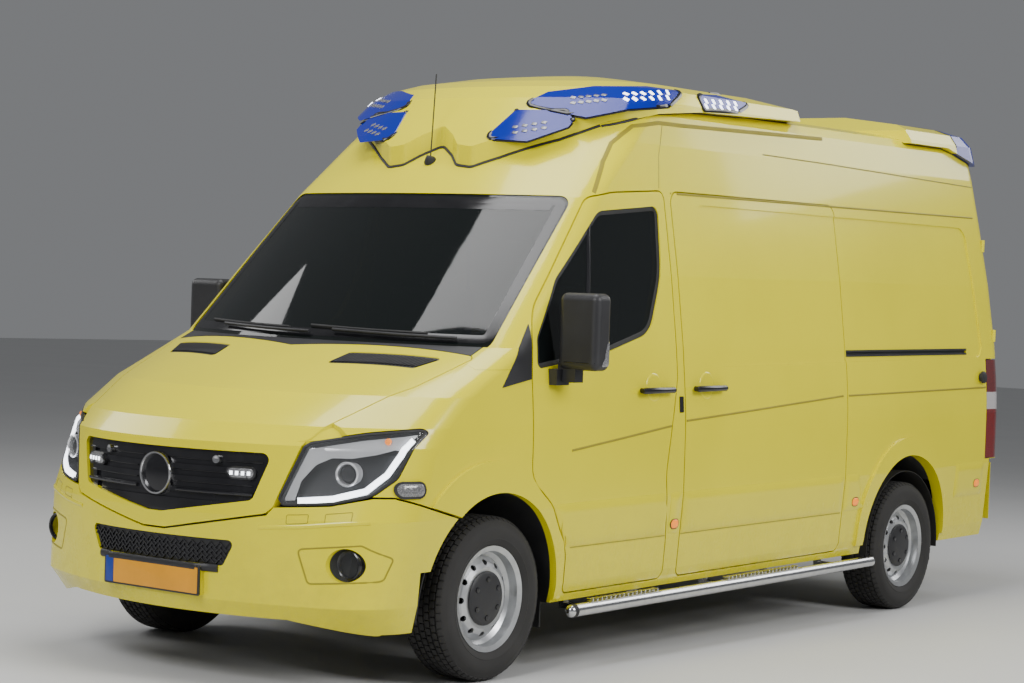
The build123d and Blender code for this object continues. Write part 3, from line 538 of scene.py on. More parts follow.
STANCE = Stance()
LEAN = STANCE.turn()
SIDE, BACK, UP = Vector((1, 0, 0)), LEAN @ Vector((0, 1, 0)), LEAN @ Vector((0, 0, 1))
AHEAD = -BACK
LENS_ALONG = Vector((0.80073, 0.59902, 0.0))
LENS_OUT = Vector((0.59681, -0.79777, -0.08590))
LENS_UP = LENS_OUT.cross(LENS_ALONG)
POD_LENSES = (
    ("upper", ((0.828, 2.408), (0.946, 2.468), (1.157, 2.501), (1.403, 2.508), (1.586, 2.489), (1.506, 2.420),
               (1.309, 2.403), (1.119, 2.360))),
    ("lower", ((0.661, 2.250), (0.801, 2.382), (1.028, 2.389), (1.065, 2.346), (1.038, 2.315), (0.855, 2.246))),
    ("rear", ((1.653, 2.478), (1.770, 2.474), (1.945, 2.435), (1.873, 2.396), (1.687, 2.404))),
)
LAMP = ((0.556, 0.748), (0.759, 0.762), (0.885, 0.796), (0.938, 0.865), (0.966, 1.063), (0.812, 1.041), (0.643, 1.001))
WINDOW = ((1.290, 2.018), (0.800, 1.975), (0.440, 1.672), (0.268, 1.420), (0.262, 1.288), (0.740, 1.345),
          (1.140, 1.440), (1.262, 1.700))


def shine(view: View, a: float, b: float) -> tuple[Vector, Vector]:
    """Start and direction of a ray for a flat outline's point.

    Args:
        view: the side it is laid from.
        a: rearwards place on a side, sideways place from the front, rear or top.
        b: height on a side, front or rear, rearwards place on top.

    Returns:
        Where the ray starts and its direction.
    """
    if view is View.LENS:
        return STANCE.point(*(LENS_ALONG * a + LENS_UP * b + LENS_OUT * 3.0)), LEAN @ -LENS_OUT
    return {
        View.LEFT: (STANCE.point(2.0, a, b), -SIDE),
        View.FRONT: (STANCE.point(a, -2.5, b), BACK),
        View.REAR: (STANCE.point(a, 6.5, b), AHEAD),
        View.TOP: (STANCE.point(a, b, 3.6), -UP),
    }[view]


class Surface:
    """The outside of some CAD nodes, to lay pieces on.

    Args:
        names: the nodes.
    """

    def __init__(self, names: Iterable[str]) -> None:
        """Gathers the nodes' faces into one tree."""
        points: list[Vector] = []
        faces: list[tuple[int, ...]] = []
        for name in names:
            mesh = frame["nodes"][name].data
            start = len(points)
            points += [vertex.co.copy() for vertex in mesh.vertices]
            faces += [tuple(start + index for index in face.vertices) for face in mesh.polygons]
        self.tree = BVHTree.FromPolygons(points, faces)

    def at(self, view: View, a: float, b: float) -> Optional[tuple[Vector, Vector]]:
        """Where a flat point lands when laid from a side.

        Returns:
            The place and the outward normal, or None where nothing is hit.
        """
        start, direction = shine(view, a, b)
        place, normal, _, _ = self.tree.ray_cast(start, direction)
        if place is None:
            return None
        return place, -normal if normal.dot(direction) > 0 else normal

    def spots(self, view: View, places: Iterable[Pair], lift: float, along: Vector) -> list[Spot]:
        """Places for copies: raised by a lift, with the normal and the long direction.

        Args:
            view: the side they are laid from.
            places: flat points.
            lift: height over the surface.
            along: long direction of the copies.

        Returns:
            A place, normal and direction for each point that lands.
        """
        hits = [self.at(view, a, b) for a, b in places]
        return [(hit[0] + hit[1] * lift, hit[1], along) for hit in hits if hit]


# Mesh making

def linked(name: str, data: bpy.types.ID) -> Obj:
    """A new object of some data, in the scene.

    Args:
        name: its name.
        data: a mesh, light or camera.

    Returns:
        The object.
    """
    obj = bpy.data.objects.new(name, data)
    bpy.context.scene.collection.objects.link(obj)
    return obj


def mesh_object(name: str, points: Sequence[Vector], faces: Sequence[Sequence[int]]) -> Obj:
    """A smooth mesh object at the origin with merged points and outward normals.

    Args:
        name: the object's name.
        points: corner places.
        faces: corner numbers of each face.

    Returns:
        The new object.
    """
    mesh = bpy.data.meshes.new(name)
    mesh.from_pydata([tuple(p) for p in points], [], [tuple(f) for f in faces])
    work = bmesh.new()
    work.from_mesh(mesh)
    bmesh.ops.remove_doubles(work, verts=work.verts, dist=1e-6)
    bmesh.ops.recalc_face_normals(work, faces=work.faces)
    work.to_mesh(mesh)
    work.free()
    obj = linked(name, mesh)
    soften(obj)
    return obj


def soften(obj: Obj, angle: float = 35.0) -> None:
    """Smooth shading with sharp edges above an angle.

    Args:
        obj: a mesh object.
        angle: the angle in degrees.
    """
    mesh = obj.data
    mesh.polygons.foreach_set("use_smooth", [True] * len(mesh.polygons))
    mesh.set_sharp_from_angle(angle=math.radians(angle))


def mirrored(name: str, obj: Obj) -> Obj:
    """The same mesh on the vehicle's other side."""
    points = [Vector((-v.co.x, v.co.y, v.co.z)) for v in obj.data.vertices]
    return mesh_object(name, points, [tuple(reversed(face.vertices)) for face in obj.data.polygons])


def skin(rings: int, size: int, closed: bool = False, capped: bool = False) -> list[tuple[int, ...]]:
    """Faces between rings of points that follow one another.

    Args:
        rings: how many rings there are.
        size: points in each ring.
        closed: whether the last ring joins the first.
        capped: whether the end rings are filled.

    Returns:
        Corner numbers of each face.
    """
    faces: list[tuple[int, ...]] = []
    for ring in range(rings if closed else rings - 1):
        base, ahead = ring * size, (ring + 1) % rings * size
        faces += [(base + k, base + (k + 1) % size, ahead + (k + 1) % size, ahead + k) for k in range(size)]
    return faces + [tuple(range(size)), tuple(range((rings - 1) * size, rings * size))] if capped else faces


def rounded(corners: Sequence[Pair], radii: Sequence[float], steps: int = 6) -> list[Pair]:
    """A flat outline with each corner rounded.

    Args:
        corners: the corners in order.
        radii: a radius for each corner.
        steps: points on each round.

    Returns:
        The outline's points.
    """
    result: list[Pair] = []
    for index, corner in enumerate(corners):
        here = Vector(corner)
        back, ahead = Vector(corners[index - 1]) - here, Vector(corners[(index + 1) % len(corners)]) - here
        reach = min(radii[index] / max(math.tan(back.angle(ahead) / 2), 1e-6), back.length * 0.49, ahead.length * 0.49)
        start, end = here + back.normalized() * reach, here + ahead.normalized() * reach
        for step in range(steps + 1):
            t = step / steps
            result.append(tuple(start * (1 - t) ** 2 + here * 2 * t * (1 - t) + end * t ** 2))
    return result


def oblong(a: float, b: float, c: float, d: float, radius: float) -> list[Pair]:
    """A rounded oblong between two opposite corners."""
    return rounded([(a, b), (c, b), (c, d), (a, d)], [radius] * 4)


def dense(points: Sequence[Pair], spacing: float, closed: bool = True) -> list[Pair]:
    """Points no further apart than a spacing along a flat line.

    Args:
        points: the line.
        spacing: the longest step.
        closed: whether the line is a loop.

    Returns:
        The points.
    """
    result: list[Pair] = []
    for index in range(len(points) if closed else len(points) - 1):
        a, b = Vector(points[index]), Vector(points[(index + 1) % len(points)])
        parts = max(1, math.ceil((b - a).length / spacing))
        result += [tuple(a.lerp(b, part / parts)) for part in range(parts)]
    return result if closed else result + [tuple(points[-1])]


def edge_distance(spot: Vector, ring: Sequence[Pair]) -> float:
    """Shortest distance from a flat point to a closed outline.

    Args:
        spot: the point.
        ring: the outline.

    Returns:
        The distance.
    """
    best = math.inf
    for index in range(len(ring)):
        a, b = Vector(ring[index - 1]), Vector(ring[index])
        close, share = geometry.intersect_point_line(spot, a, b)
        nearest = a if share <= 0 else b if share >= 1 else Vector(close[:2])
        best = min(best, (spot - nearest).length)
    return best


def inside(spot: Vector, ring: Sequence[Pair]) -> bool:
    """Whether a flat point is inside a closed outline.

    Args:
        spot: the point.
        ring: the outline.

    Returns:
        True where it is inside.
    """
    found = False
    for index in range(len(ring)):
        (ax, ay), (bx, by) = ring[index - 1], ring[index]
        if (ay > spot.y) != (by > spot.y) and spot.x < (bx - ax) * (spot.y - ay) / (by - ay) + ax:
            found = not found
    return found


@dataclass
class Patch:
    """A thin plate laid on a surface, to a flat outline.

    Args:
        name: the piece's name.
        outline: flat points of its edge.
        view: the side it is laid from.
        surface: what it lies on.
        lift: how far its face stands off the surface.
        sink: how far it reaches below its face.
        crown: extra lift away from its edge.
        edge: how far in the crown reaches its full height.
        grid: spacing of its points.
    """

    name: str
    outline: Sequence[Pair]
    view: View
    surface: Surface
    lift: float = 0.002
    sink: float = 0.004
    crown: float = 0.0
    edge: float = 0.03
    grid: float = 0.02

    def build(self) -> Obj:
        """Lays the plate.

        Returns:
            The mesh object.
        """
        ring = dense(self.outline, self.grid)
        low, high = (Vector((pick(p[0] for p in ring), pick(p[1] for p in ring))) for pick in (min, max))
        flat = [Vector(p) for p in ring]
        for column in range(int((high.x - low.x) / self.grid) + 1):
            for row in range(int((high.y - low.y) / self.grid) + 1):
                spot = low + Vector((column + 0.5, row + 0.5)) * self.grid
                if inside(spot, ring) and edge_distance(spot, ring) > self.grid * 0.45:
                    flat.append(spot)
        count = len(ring)
        edges = [(i, (i + 1) % count) for i in range(count)]
        spots, _, faces, _, _, _ = geometry.delaunay_2d_cdt(flat, edges, [list(range(count))], 1, 1e-6)
        tops: list[Vector] = []
        feet: list[Vector] = []
        hit = None
        for spot in spots:
            hit = self.surface.at(self.view, *spot) or hit
            place, normal = hit
            share = min(1.0, edge_distance(spot, ring) / self.edge) if self.crown else 0.0
            rise = self.lift + self.crown * math.sqrt(max(0.0, 1 - (1 - share) ** 2))
            tops.append(place + normal * rise)
            feet.append(place + normal * (self.lift - self.sink))
        size = len(tops)
        solid = [tuple(face) for face in faces] + [tuple(size + i for i in reversed(face)) for face in faces]
        sides = {(a, b): None for face in faces for a, b in zip(face, (*face[1:], face[0]))}
        solid += [(b, a, size + a, size + b) for a, b in sides if (b, a) not in sides]
        return mesh_object(self.name, tops + feet, solid)


@dataclass
class Bead:
    """A strip laid along a line on a surface.

    Args:
        name: the piece's name.
        line: flat points of its line.
        view: the side it is laid from.
        surface: what it lies on.
        width: its width.
        lift: how far its crown stands off.
        sink: how far it reaches into the surface.
        closed: whether the line is a loop.
        spacing: distance between its sections.
    """

    name: str
    line: Sequence[Pair]
    view: View
    surface: Surface
    width: float
    lift: float
    sink: float
    closed: bool
    spacing: float

    def build(self) -> Obj:
        """Lays the strip."""
        hits = [self.surface.at(self.view, a, b) for a, b in dense(self.line, self.spacing, self.closed)]
        return sweep(self.name, [hit for hit in hits if hit], self.width, self.lift, self.sink, self.closed)


def sweep(name: str, track: Sequence[tuple[Vector, Vector]], width: float, lift: float, sink: float,
          closed: bool) -> Obj:
    """A crowned strip along places with normals.

    Args:
        name: the piece's name.
        track: places and outward normals.
        width: the strip's width.
        lift: its crown's height.
        sink: its foot's depth.
        closed: whether it is a loop.

    Returns:
        The mesh object.
    """
    profile = ((-0.5, -sink), (-0.5, lift * 0.4), (-0.3, lift * 0.85), (0.0, lift), (0.3, lift * 0.85),
               (0.5, lift * 0.4), (0.5, -sink))
    points: list[Vector] = []
    count = len(track)
    for index, (place, normal) in enumerate(track):
        before = track[index - 1][0] if closed or index else place
        after = track[(index + 1) % count][0] if closed or index < count - 1 else place
        across = (after - before).normalized().cross(normal).normalized()
        points += [place + across * (a * width) + normal * b for a, b in profile]
    return mesh_object(name, points, skin(count, len(profile), closed, not closed))


def tube(name: str, path: Sequence[Vector], radius: float, sides: int = 12) -> Obj:
    """A round tube with flat ends along a path.

    Args:
        name: the piece's name.
        path: places of its middle line.
        radius: its radius.
        sides: points round it.

    Returns:
        The mesh object.
    """
    points: list[Vector] = []
    up = Vector((0, 0, 1))
    for index, place in enumerate(path):
        along = (path[min(index + 1, len(path) - 1)] - path[max(index - 1, 0)]).normalized()
        if abs(along.dot(up)) > 0.95:
            up = Vector((0, 1, 0))
        across = along.cross(up).normalized()
        high = across.cross(along)
        points += [place + across * a + high * b for a, b in circle(radius, sides)]
    return mesh_object(name, points, skin(len(path), sides, capped=True))


def lathe(name: str, centre: Vector, axis: Vector, profile: Sequence[Pair], steps: int = 48) -> Obj:
    """A turned piece from (along, out) points about an axis.

    Args:
        name: the piece's name.
        centre: a place on the axis.
        axis: its direction.
        profile: closed profile points.
        steps: segments round the axis.

    Returns:
        The mesh object.
    """
    axis = axis.normalized()
    across = axis.cross(Vector((0, 0, 1)) if abs(axis.z) < 0.9 else Vector((1, 0, 0))).normalized()
    high = axis.cross(across)
    points = [centre + axis * a + (across * x + high * y) * r for x, y in circle(1.0, steps) for a, r in profile]
    return mesh_object(name, points, skin(steps, len(profile), True))


def plate(name: str, centre: Vector, across: Vector, up: Vector, outline: Sequence[Pair], thick: float,
          bevel: float = 0.0) -> Obj:
    """A flat plate of an outline, raised along across x up by its thickness.

    Args:
        name: the piece's name.
        centre: the place of the outline's origin.
        across: direction of the outline's first number.
        up: direction of its second.
        outline: flat points.
        thick: thickness.
        bevel: rounding of the edges.

    Returns:
        The mesh object.
    """
    out = across.cross(up).normalized()
    points = [centre + across * a + up * b for a, b in outline]
    obj = mesh_object(name, points + [p + out * thick for p in points], skin(2, len(outline), capped=True))
    if bevel:
        work = bmesh.new()
        work.from_mesh(obj.data)
        rims = [e for e in work.edges if e.calc_face_angle(0) > 1.0]
        bmesh.ops.bevel(work, geom=rims, offset=bevel, segments=3, profile=0.5, affect="EDGES")
        work.to_mesh(obj.data)
        work.free()
        soften(obj)
    return obj


# Repeats, outlines and cushions

class Repeat:
    """Copies of a small mesh, laid by a node tree on points that carry their own directions."""

    NODES = (
        ("in", "NodeGroupInput"), ("out", "NodeGroupOutput"), ("info", "GeometryNodeObjectInfo"),
        ("face", "GeometryNodeInputNamedAttribute"), ("along", "GeometryNodeInputNamedAttribute"),
        ("axes", "FunctionNodeAxesToRotation"), ("random", "FunctionNodeRandomValue"),
        ("copy", "GeometryNodeInstanceOnPoints"), ("real", "GeometryNodeRealizeInstances"),
        ("finish", "GeometryNodeSetMaterial"),
    )
    LINKS = (
        ("in", "Geometry", "copy", "Points"), ("in", "Piece", "info", "Object"),
        ("info", "Geometry", "copy", "Instance"), ("face", "Attribute", "axes", "Primary Axis"),
        ("along", "Attribute", "axes", "Secondary Axis"), ("axes", "Rotation", "copy", "Rotation"),
        ("in", "Least Size", "random", "Min"), ("in", "Seed", "random", "Seed"), ("random", "Value", "copy", "Scale"),
        ("copy", "Instances", "real", "Geometry"), ("real", "Geometry", "finish", "Geometry"),
        ("in", "Finish", "finish", "Material"), ("finish", "Geometry", "out", "Geometry"),
    )

    def __init__(self) -> None:
        """Builds the node tree with its named inputs."""
        self.tree = bpy.data.node_groups.new("repeat_on_points", "GeometryNodeTree")
        sockets = self.tree.interface
        sockets.new_socket("Geometry", in_out="INPUT", socket_type="NodeSocketGeometry")
        self.keys = {
            name: sockets.new_socket(name, in_out="INPUT", socket_type=f"NodeSocket{kind}").identifier
            for name, kind in (("Piece", "Object"), ("Least Size", "Float"), ("Seed", "Int"), ("Finish", "Material"))
        }
        sockets.new_socket("Geometry", in_out="OUTPUT", socket_type="NodeSocketGeometry")
        made = {name: self.tree.nodes.new(kind) for name, kind in self.NODES}
        for name in ("face", "along"):
            made[name].data_type = "FLOAT_VECTOR"
            made[name].inputs["Name"].default_value = name
        made["axes"].primary_axis, made["axes"].secondary_axis = "Z", "X"
        made["random"].data_type = "FLOAT"
        self.socket(made["random"].inputs, "Max").default_value = 1.0
        for source, output, target, entry in self.LINKS:
            self.tree.links.new(self.socket(made[source].outputs, output), self.socket(made[target].inputs, entry))

    @staticmethod
    def socket(sockets: Iterable[Socket], name: str) -> Socket:
        """The socket of a name that is in use."""
        return next(socket for socket in sockets if socket.enabled and socket.name == name)

    def lay(self, name: str, piece: Obj, spots: Sequence[Spot],
            finish: bpy.types.Material, least: float = 1.0, seed: int = 7) -> Obj:
        """Lays the copies and makes one plain mesh of them.

        Args:
            name: the new piece's name.
            piece: the mesh to copy, drawn about the origin with Z outwards; it is removed.
            spots: place, outward direction and long direction of each copy.
            finish: the material of the copies.
            least: the smallest size that a copy may have.
            seed: start of the random sizes.

        Returns:
            The mesh object.
        """
        mesh = bpy.data.meshes.new("spots")
        mesh.from_pydata([tuple(place) for place, _, _ in spots], [], [])
        for key, index in (("face", 1), ("along", 2)):
            values = mesh.attributes.new(key, "FLOAT_VECTOR", "POINT")
            values.data.foreach_set("vector", [c for spot in spots for c in spot[index]])
        holder = linked("spots", mesh)
        modifier = holder.modifiers.new("repeat", "NODES")
        modifier.node_group = self.tree
        for key, value in (("Piece", piece), ("Least Size", least), ("Seed", seed), ("Finish", finish)):
            modifier[self.keys[key]] = value
        made = bpy.data.meshes.new_from_object(holder.evaluated_get(bpy.context.evaluated_depsgraph_get()))
        made.name = name
        obj = linked(name, made)
        for helper in (holder, piece):
            bpy.data.objects.remove(helper, do_unlink=True)
        soften(obj)
        return obj


def box_mesh(name: str, size: tuple[float, float, float], bevel: float = 0.0) -> Obj:
    """A block about the origin with rounded edges, its foot at Z 0.

    Args:
        name: the piece's name.
        size: its three sides.
        bevel: rounding of its edges.

    Returns:
        The mesh object.
    """
    x, y = size[0] / 2, size[1] / 2
    flat = ((-x, -y), (x, -y), (x, y), (-x, y))
    return plate(name, Vector(), Vector((1, 0, 0)), Vector((0, 1, 0)), flat, size[2], bevel)


def pill(half_long: float, half_high: float, steps: int = 8) -> list[Pair]:
    """A flat outline with round ends about the origin.

    Args:
        half_long: half its length.
        half_high: half its height.
        steps: parts of each round end.

    Returns:
        The outline.
    """
    ring: list[Pair] = []
    for side, start in ((1, -90), (-1, 90)):
        for step in range(steps + 1):
            turn = math.radians(start + 180 * step / steps)
            ring.append((side * (half_long - half_high) + math.cos(turn) * half_high, math.sin(turn) * half_high))
    return ring


def shifted(ring: Sequence[Pair], a: float, b: float) -> list[Pair]:
    """A flat outline moved by two amounts."""
    return [(p[0] + a, p[1] + b) for p in ring]


def circle(radius: float, steps: int) -> list[Pair]:
    """Flat points of a circle about the origin."""
    turns = [2 * math.pi * k / steps for k in range(steps)]
    return [(math.cos(turn) * radius, math.sin(turn) * radius) for turn in turns]


def inset(ring: Sequence[Pair], amount: float) -> list[Pair]:
    """A closed outline moved inwards.

    Args:
        ring: the outline.
        amount: how far it moves.

    Returns:
        The new outline.
    """
    count = len(ring)
    area = sum(ring[k - 1][0] * ring[k][1] - ring[k][0] * ring[k - 1][1] for k in range(count))
    result: list[Pair] = []
    for k in range(count):
        run = (Vector(ring[(k + 1) % count]) - Vector(ring[k - 1])).normalized()
        inwards = Vector((-run.y, run.x)) * math.copysign(amount, area)
        result.append(tuple(Vector(ring[k]) + inwards))
    return result


def cushion(name: str, centre: Vector, size: tuple[float, float, float], lean: float, crown: float,
            radius: float) -> Obj:
    """A stuffed block with round edges and full faces.

    Args:
        name: the piece's name.
        centre: its middle.
        size: width, length and thickness.
        lean: turn about the sideways axis in degrees.
        crown: how far the big faces swell.
        radius: rounding of the edges.

    Returns:
        The mesh object.
    """
    work = bmesh.new()
    bmesh.ops.create_cube(work, size=2.0)
    bmesh.ops.subdivide_edges(work, edges=work.edges, cuts=13, use_grid_fill=True)
    half = Vector(size) / 2
    limits = [max(0.0, h - radius) for h in half]
    turn = Matrix.Rotation(math.radians(lean), 3, "X")
    points: list[Vector] = []
    for vertex in work.verts:
        spot = vertex.co * half
        core = Vector((max(-limit, min(limit, value)) for value, limit in zip(spot, limits)))
        spot = core + (spot - core).normalized() * radius if (spot - core).length > 1e-9 else spot
        full = (1 - (spot.x / half.x) ** 2) * (1 - (spot.y / half.y) ** 2)
        welt = 0.006 * math.exp(-((abs(spot.x) / half.x - 0.62) / 0.07) ** 2)
        spot.z += (crown * max(0.0, full) - welt) * (1 if spot.z > 0 else -1)
        points.append(centre + turn @ spot)
    faces = [tuple(v.index for v in face.verts) for face in work.faces]
    work.free()
    return mesh_object(name, points, faces)


# Sub-assemblies

BODY = "vehicle_body"
SHELL = (BODY, BODY)
LID = ("bonnet", "bonnet")
DOORS = ("front_door_left", "front_door_right")
TAIL_DOORS = ("rear_door_left", "rear_door_right")
Bodies = str | tuple[str, str]


class Assembly:
    """A group of pieces that one class builds.

    Args:
        look: the shared finishes.
        repeat: the shared tree that lays copies.
    """

    def __init__(self, look: Look, repeat: Repeat) -> None:
        """Keeps what all groups share and starts the count."""
        self.look, self.repeat, self.count = look, repeat, 0

    def add(self, obj: Obj, finish: str, bodies: Bodies = BODY) -> None:
        """Finishes a piece and rides it on its body.

        Args:
            obj: the piece.
            finish: a finish of the table.
            bodies: one body, or the bodies of the left piece and of its mirror image.
        """
        pieces = [(obj, bodies)]
        if not isinstance(bodies, str):
            name = obj.name
            other = mirrored(f"{name}_right", obj)
            obj.name = f"{name}_left"
            pieces = list(zip((obj, other), bodies))
        for piece, body in pieces:
            self.look.put(piece, finish)
            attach(piece, body)
            self.count += 1

    def beads(self, surface: Surface, view: View, finish: str, bodies: Bodies, *rows: Sequence,
              closed: bool = False, spacing: float = 0.03) -> None:
        """Lays strips on a surface.

        Args:
            surface: what they lie on.
            view: the side they are laid from.
            finish: a finish of the table.
            bodies: one body, or those of a mirrored pair.
            rows: name, line, width, lift and sink of each.
            closed: whether the lines are loops.
            spacing: distance between sections.
        """
        for name, line, width, lift, sink in rows:
            strip = Bead(name, line, view, surface, width, lift, sink, closed, spacing)
            self.add(strip.build(), finish, bodies)

    def patches(self, surface: Surface, view: View, finish: str, bodies: Bodies, *rows: Sequence) -> None:
        """Lays thin plates on a surface.

        Args:
            surface: what they lie on.
            view: the side they are laid from.
            finish: a finish of the table.
            bodies: one body, or those of a mirrored pair.
            rows: name, outline and the sizes of a Patch, in its order.
        """
        for name, ring, *sizes in rows:
            self.add(Patch(name, ring, view, surface, *sizes).build(), finish, bodies)

    def lamp(self, surface: Surface, view: View, spot: Pair, bodies: Bodies, *rows: Sequence) -> None:
        """Lays the round-ended base and lens of a small lamp.

        Args:
            surface: what they lie on.
            view: the side they are laid from.
            spot: the lamp's middle.
            bodies: one body, or those of a mirrored pair.
            rows: name, finish, half length, half height and the sizes of a Patch.
        """
        for name, finish, long, high, *sizes in rows:
            self.patches(surface, view, finish, bodies, (name, shifted(pill(long, high), *spot), *sizes))

    def copies(self, name: str, piece: Obj, spots: Sequence[Spot], finish: str,
               bodies: Bodies = BODY) -> None:
        """Lays copies of a small piece and finishes them as one."""
        self.add(self.repeat.lay(name, piece, spots, self.look.made[finish]), finish, bodies)

    def build(self) -> None:
        """Makes the pieces."""
        raise NotImplementedError


class Frame(Assembly):
    """Finishes of the CAD nodes themselves."""

    FINISHES = {
        "body_paint": "paint_yellow", "inner_paint": "paint_inner", "black_plastic": "moulding_black",
        "clear_glass": "glass_clear", "dark_glass": "glass_dark", "lamp_clear": "lens_clear",
        "lamp_red": "lens_red", "lamp_blue": "lens_blue", "steel_silver": "wheel_silver", "tyre": "tyre_rubber",
        "dark_metal": "underbody", "cab_plastic": "cabin_moulding", "cab_fabric": "seat_cover",
    }

    def build(self) -> None:
        """Gives every node its finish and smooth shading."""
        for part in frame["record"]["subparts"]:
            obj, slot = frame["nodes"][part["node"]], part["material_slot"]
            obj.data.materials.clear()
            obj.data.materials.append(self.look.made[self.FINISHES.get(slot, slot)])
            soften(obj, 28.0)


class Glazing(Assembly):
    """Borders, seals and bars of the windows, and the wipers."""

    WIPER = ((0.72, 1.400), (0.45, 1.404), (0.14, 1.412))

    def build(self) -> None:
        """Lays the pieces on the glass."""
        glass = Surface(["windscreen"])
        screen = rounded([(-0.797, 2.030), (0.797, 2.030), (0.862, 1.384), (-0.862, 1.384)], [0.06, 0.06, 0.05, 0.05])
        self.beads(glass, View.FRONT, "glass_border", BODY,
                   ("windscreen_border", inset(screen, 0.024), 0.046, 0.0012, 0.001), closed=True)
        self.beads(glass, View.FRONT, "glass_border", BODY,
                   ("windscreen_shade", ((-0.74, 1.985), (0.74, 1.985)), 0.05, 0.0010, 0.001))
        for name, slide in (("left", 0.0), ("right", -0.70)):
            line = shifted(self.WIPER, slide, 0.0)
            arm = [spot for spot, _, _ in glass.spots(View.FRONT, dense(line, 0.06, False), 0.016, UP)]
            self.add(tube(f"wiper_arm_{name}", arm, 0.007), "moulding_black")
            self.beads(glass, View.FRONT, "rubber", BODY,
                       (f"wiper_blade_{name}", shifted(line, -0.14, 0.020), 0.014, 0.012, 0.0))
        door = Surface(["front_door_left", "door_glass_left"])
        window = rounded(WINDOW, (0.045, 0.12, 0.2, 0.06, 0.03, 0.2, 0.16, 0.4))
        self.beads(door, View.LEFT, "rubber", DOORS,
                   ("door_window_seal", inset(window, 0.006), 0.030, 0.0035, 0.002), closed=True)
        self.beads(door, View.LEFT, "gloss_black", DOORS,
                   ("window_bar", ((0.726, 1.902), (0.684, 1.627), (0.641, 1.348)), 0.030, 0.004, 0.002))
        self.patches(Surface(["front_wings", "side_walls", "roof"]), View.LEFT, "moulding_black", SHELL,
                     ("pillar_foot", ((0.012, 1.216), (0.214, 1.248), (0.233, 1.478)), 0.003, 0.006))
        pane = rounded([(0.110, 1.400), (0.742, 1.400), (0.668, 1.960), (0.110, 1.960)], [0.05] * 4)
        self.beads(Surface(["rear_door_left", "rear_glass_left"]), View.REAR, "rubber", TAIL_DOORS,
                   ("rear_window_seal", inset(pane, 0.008), 0.030, 0.003, 0.002), closed=True)


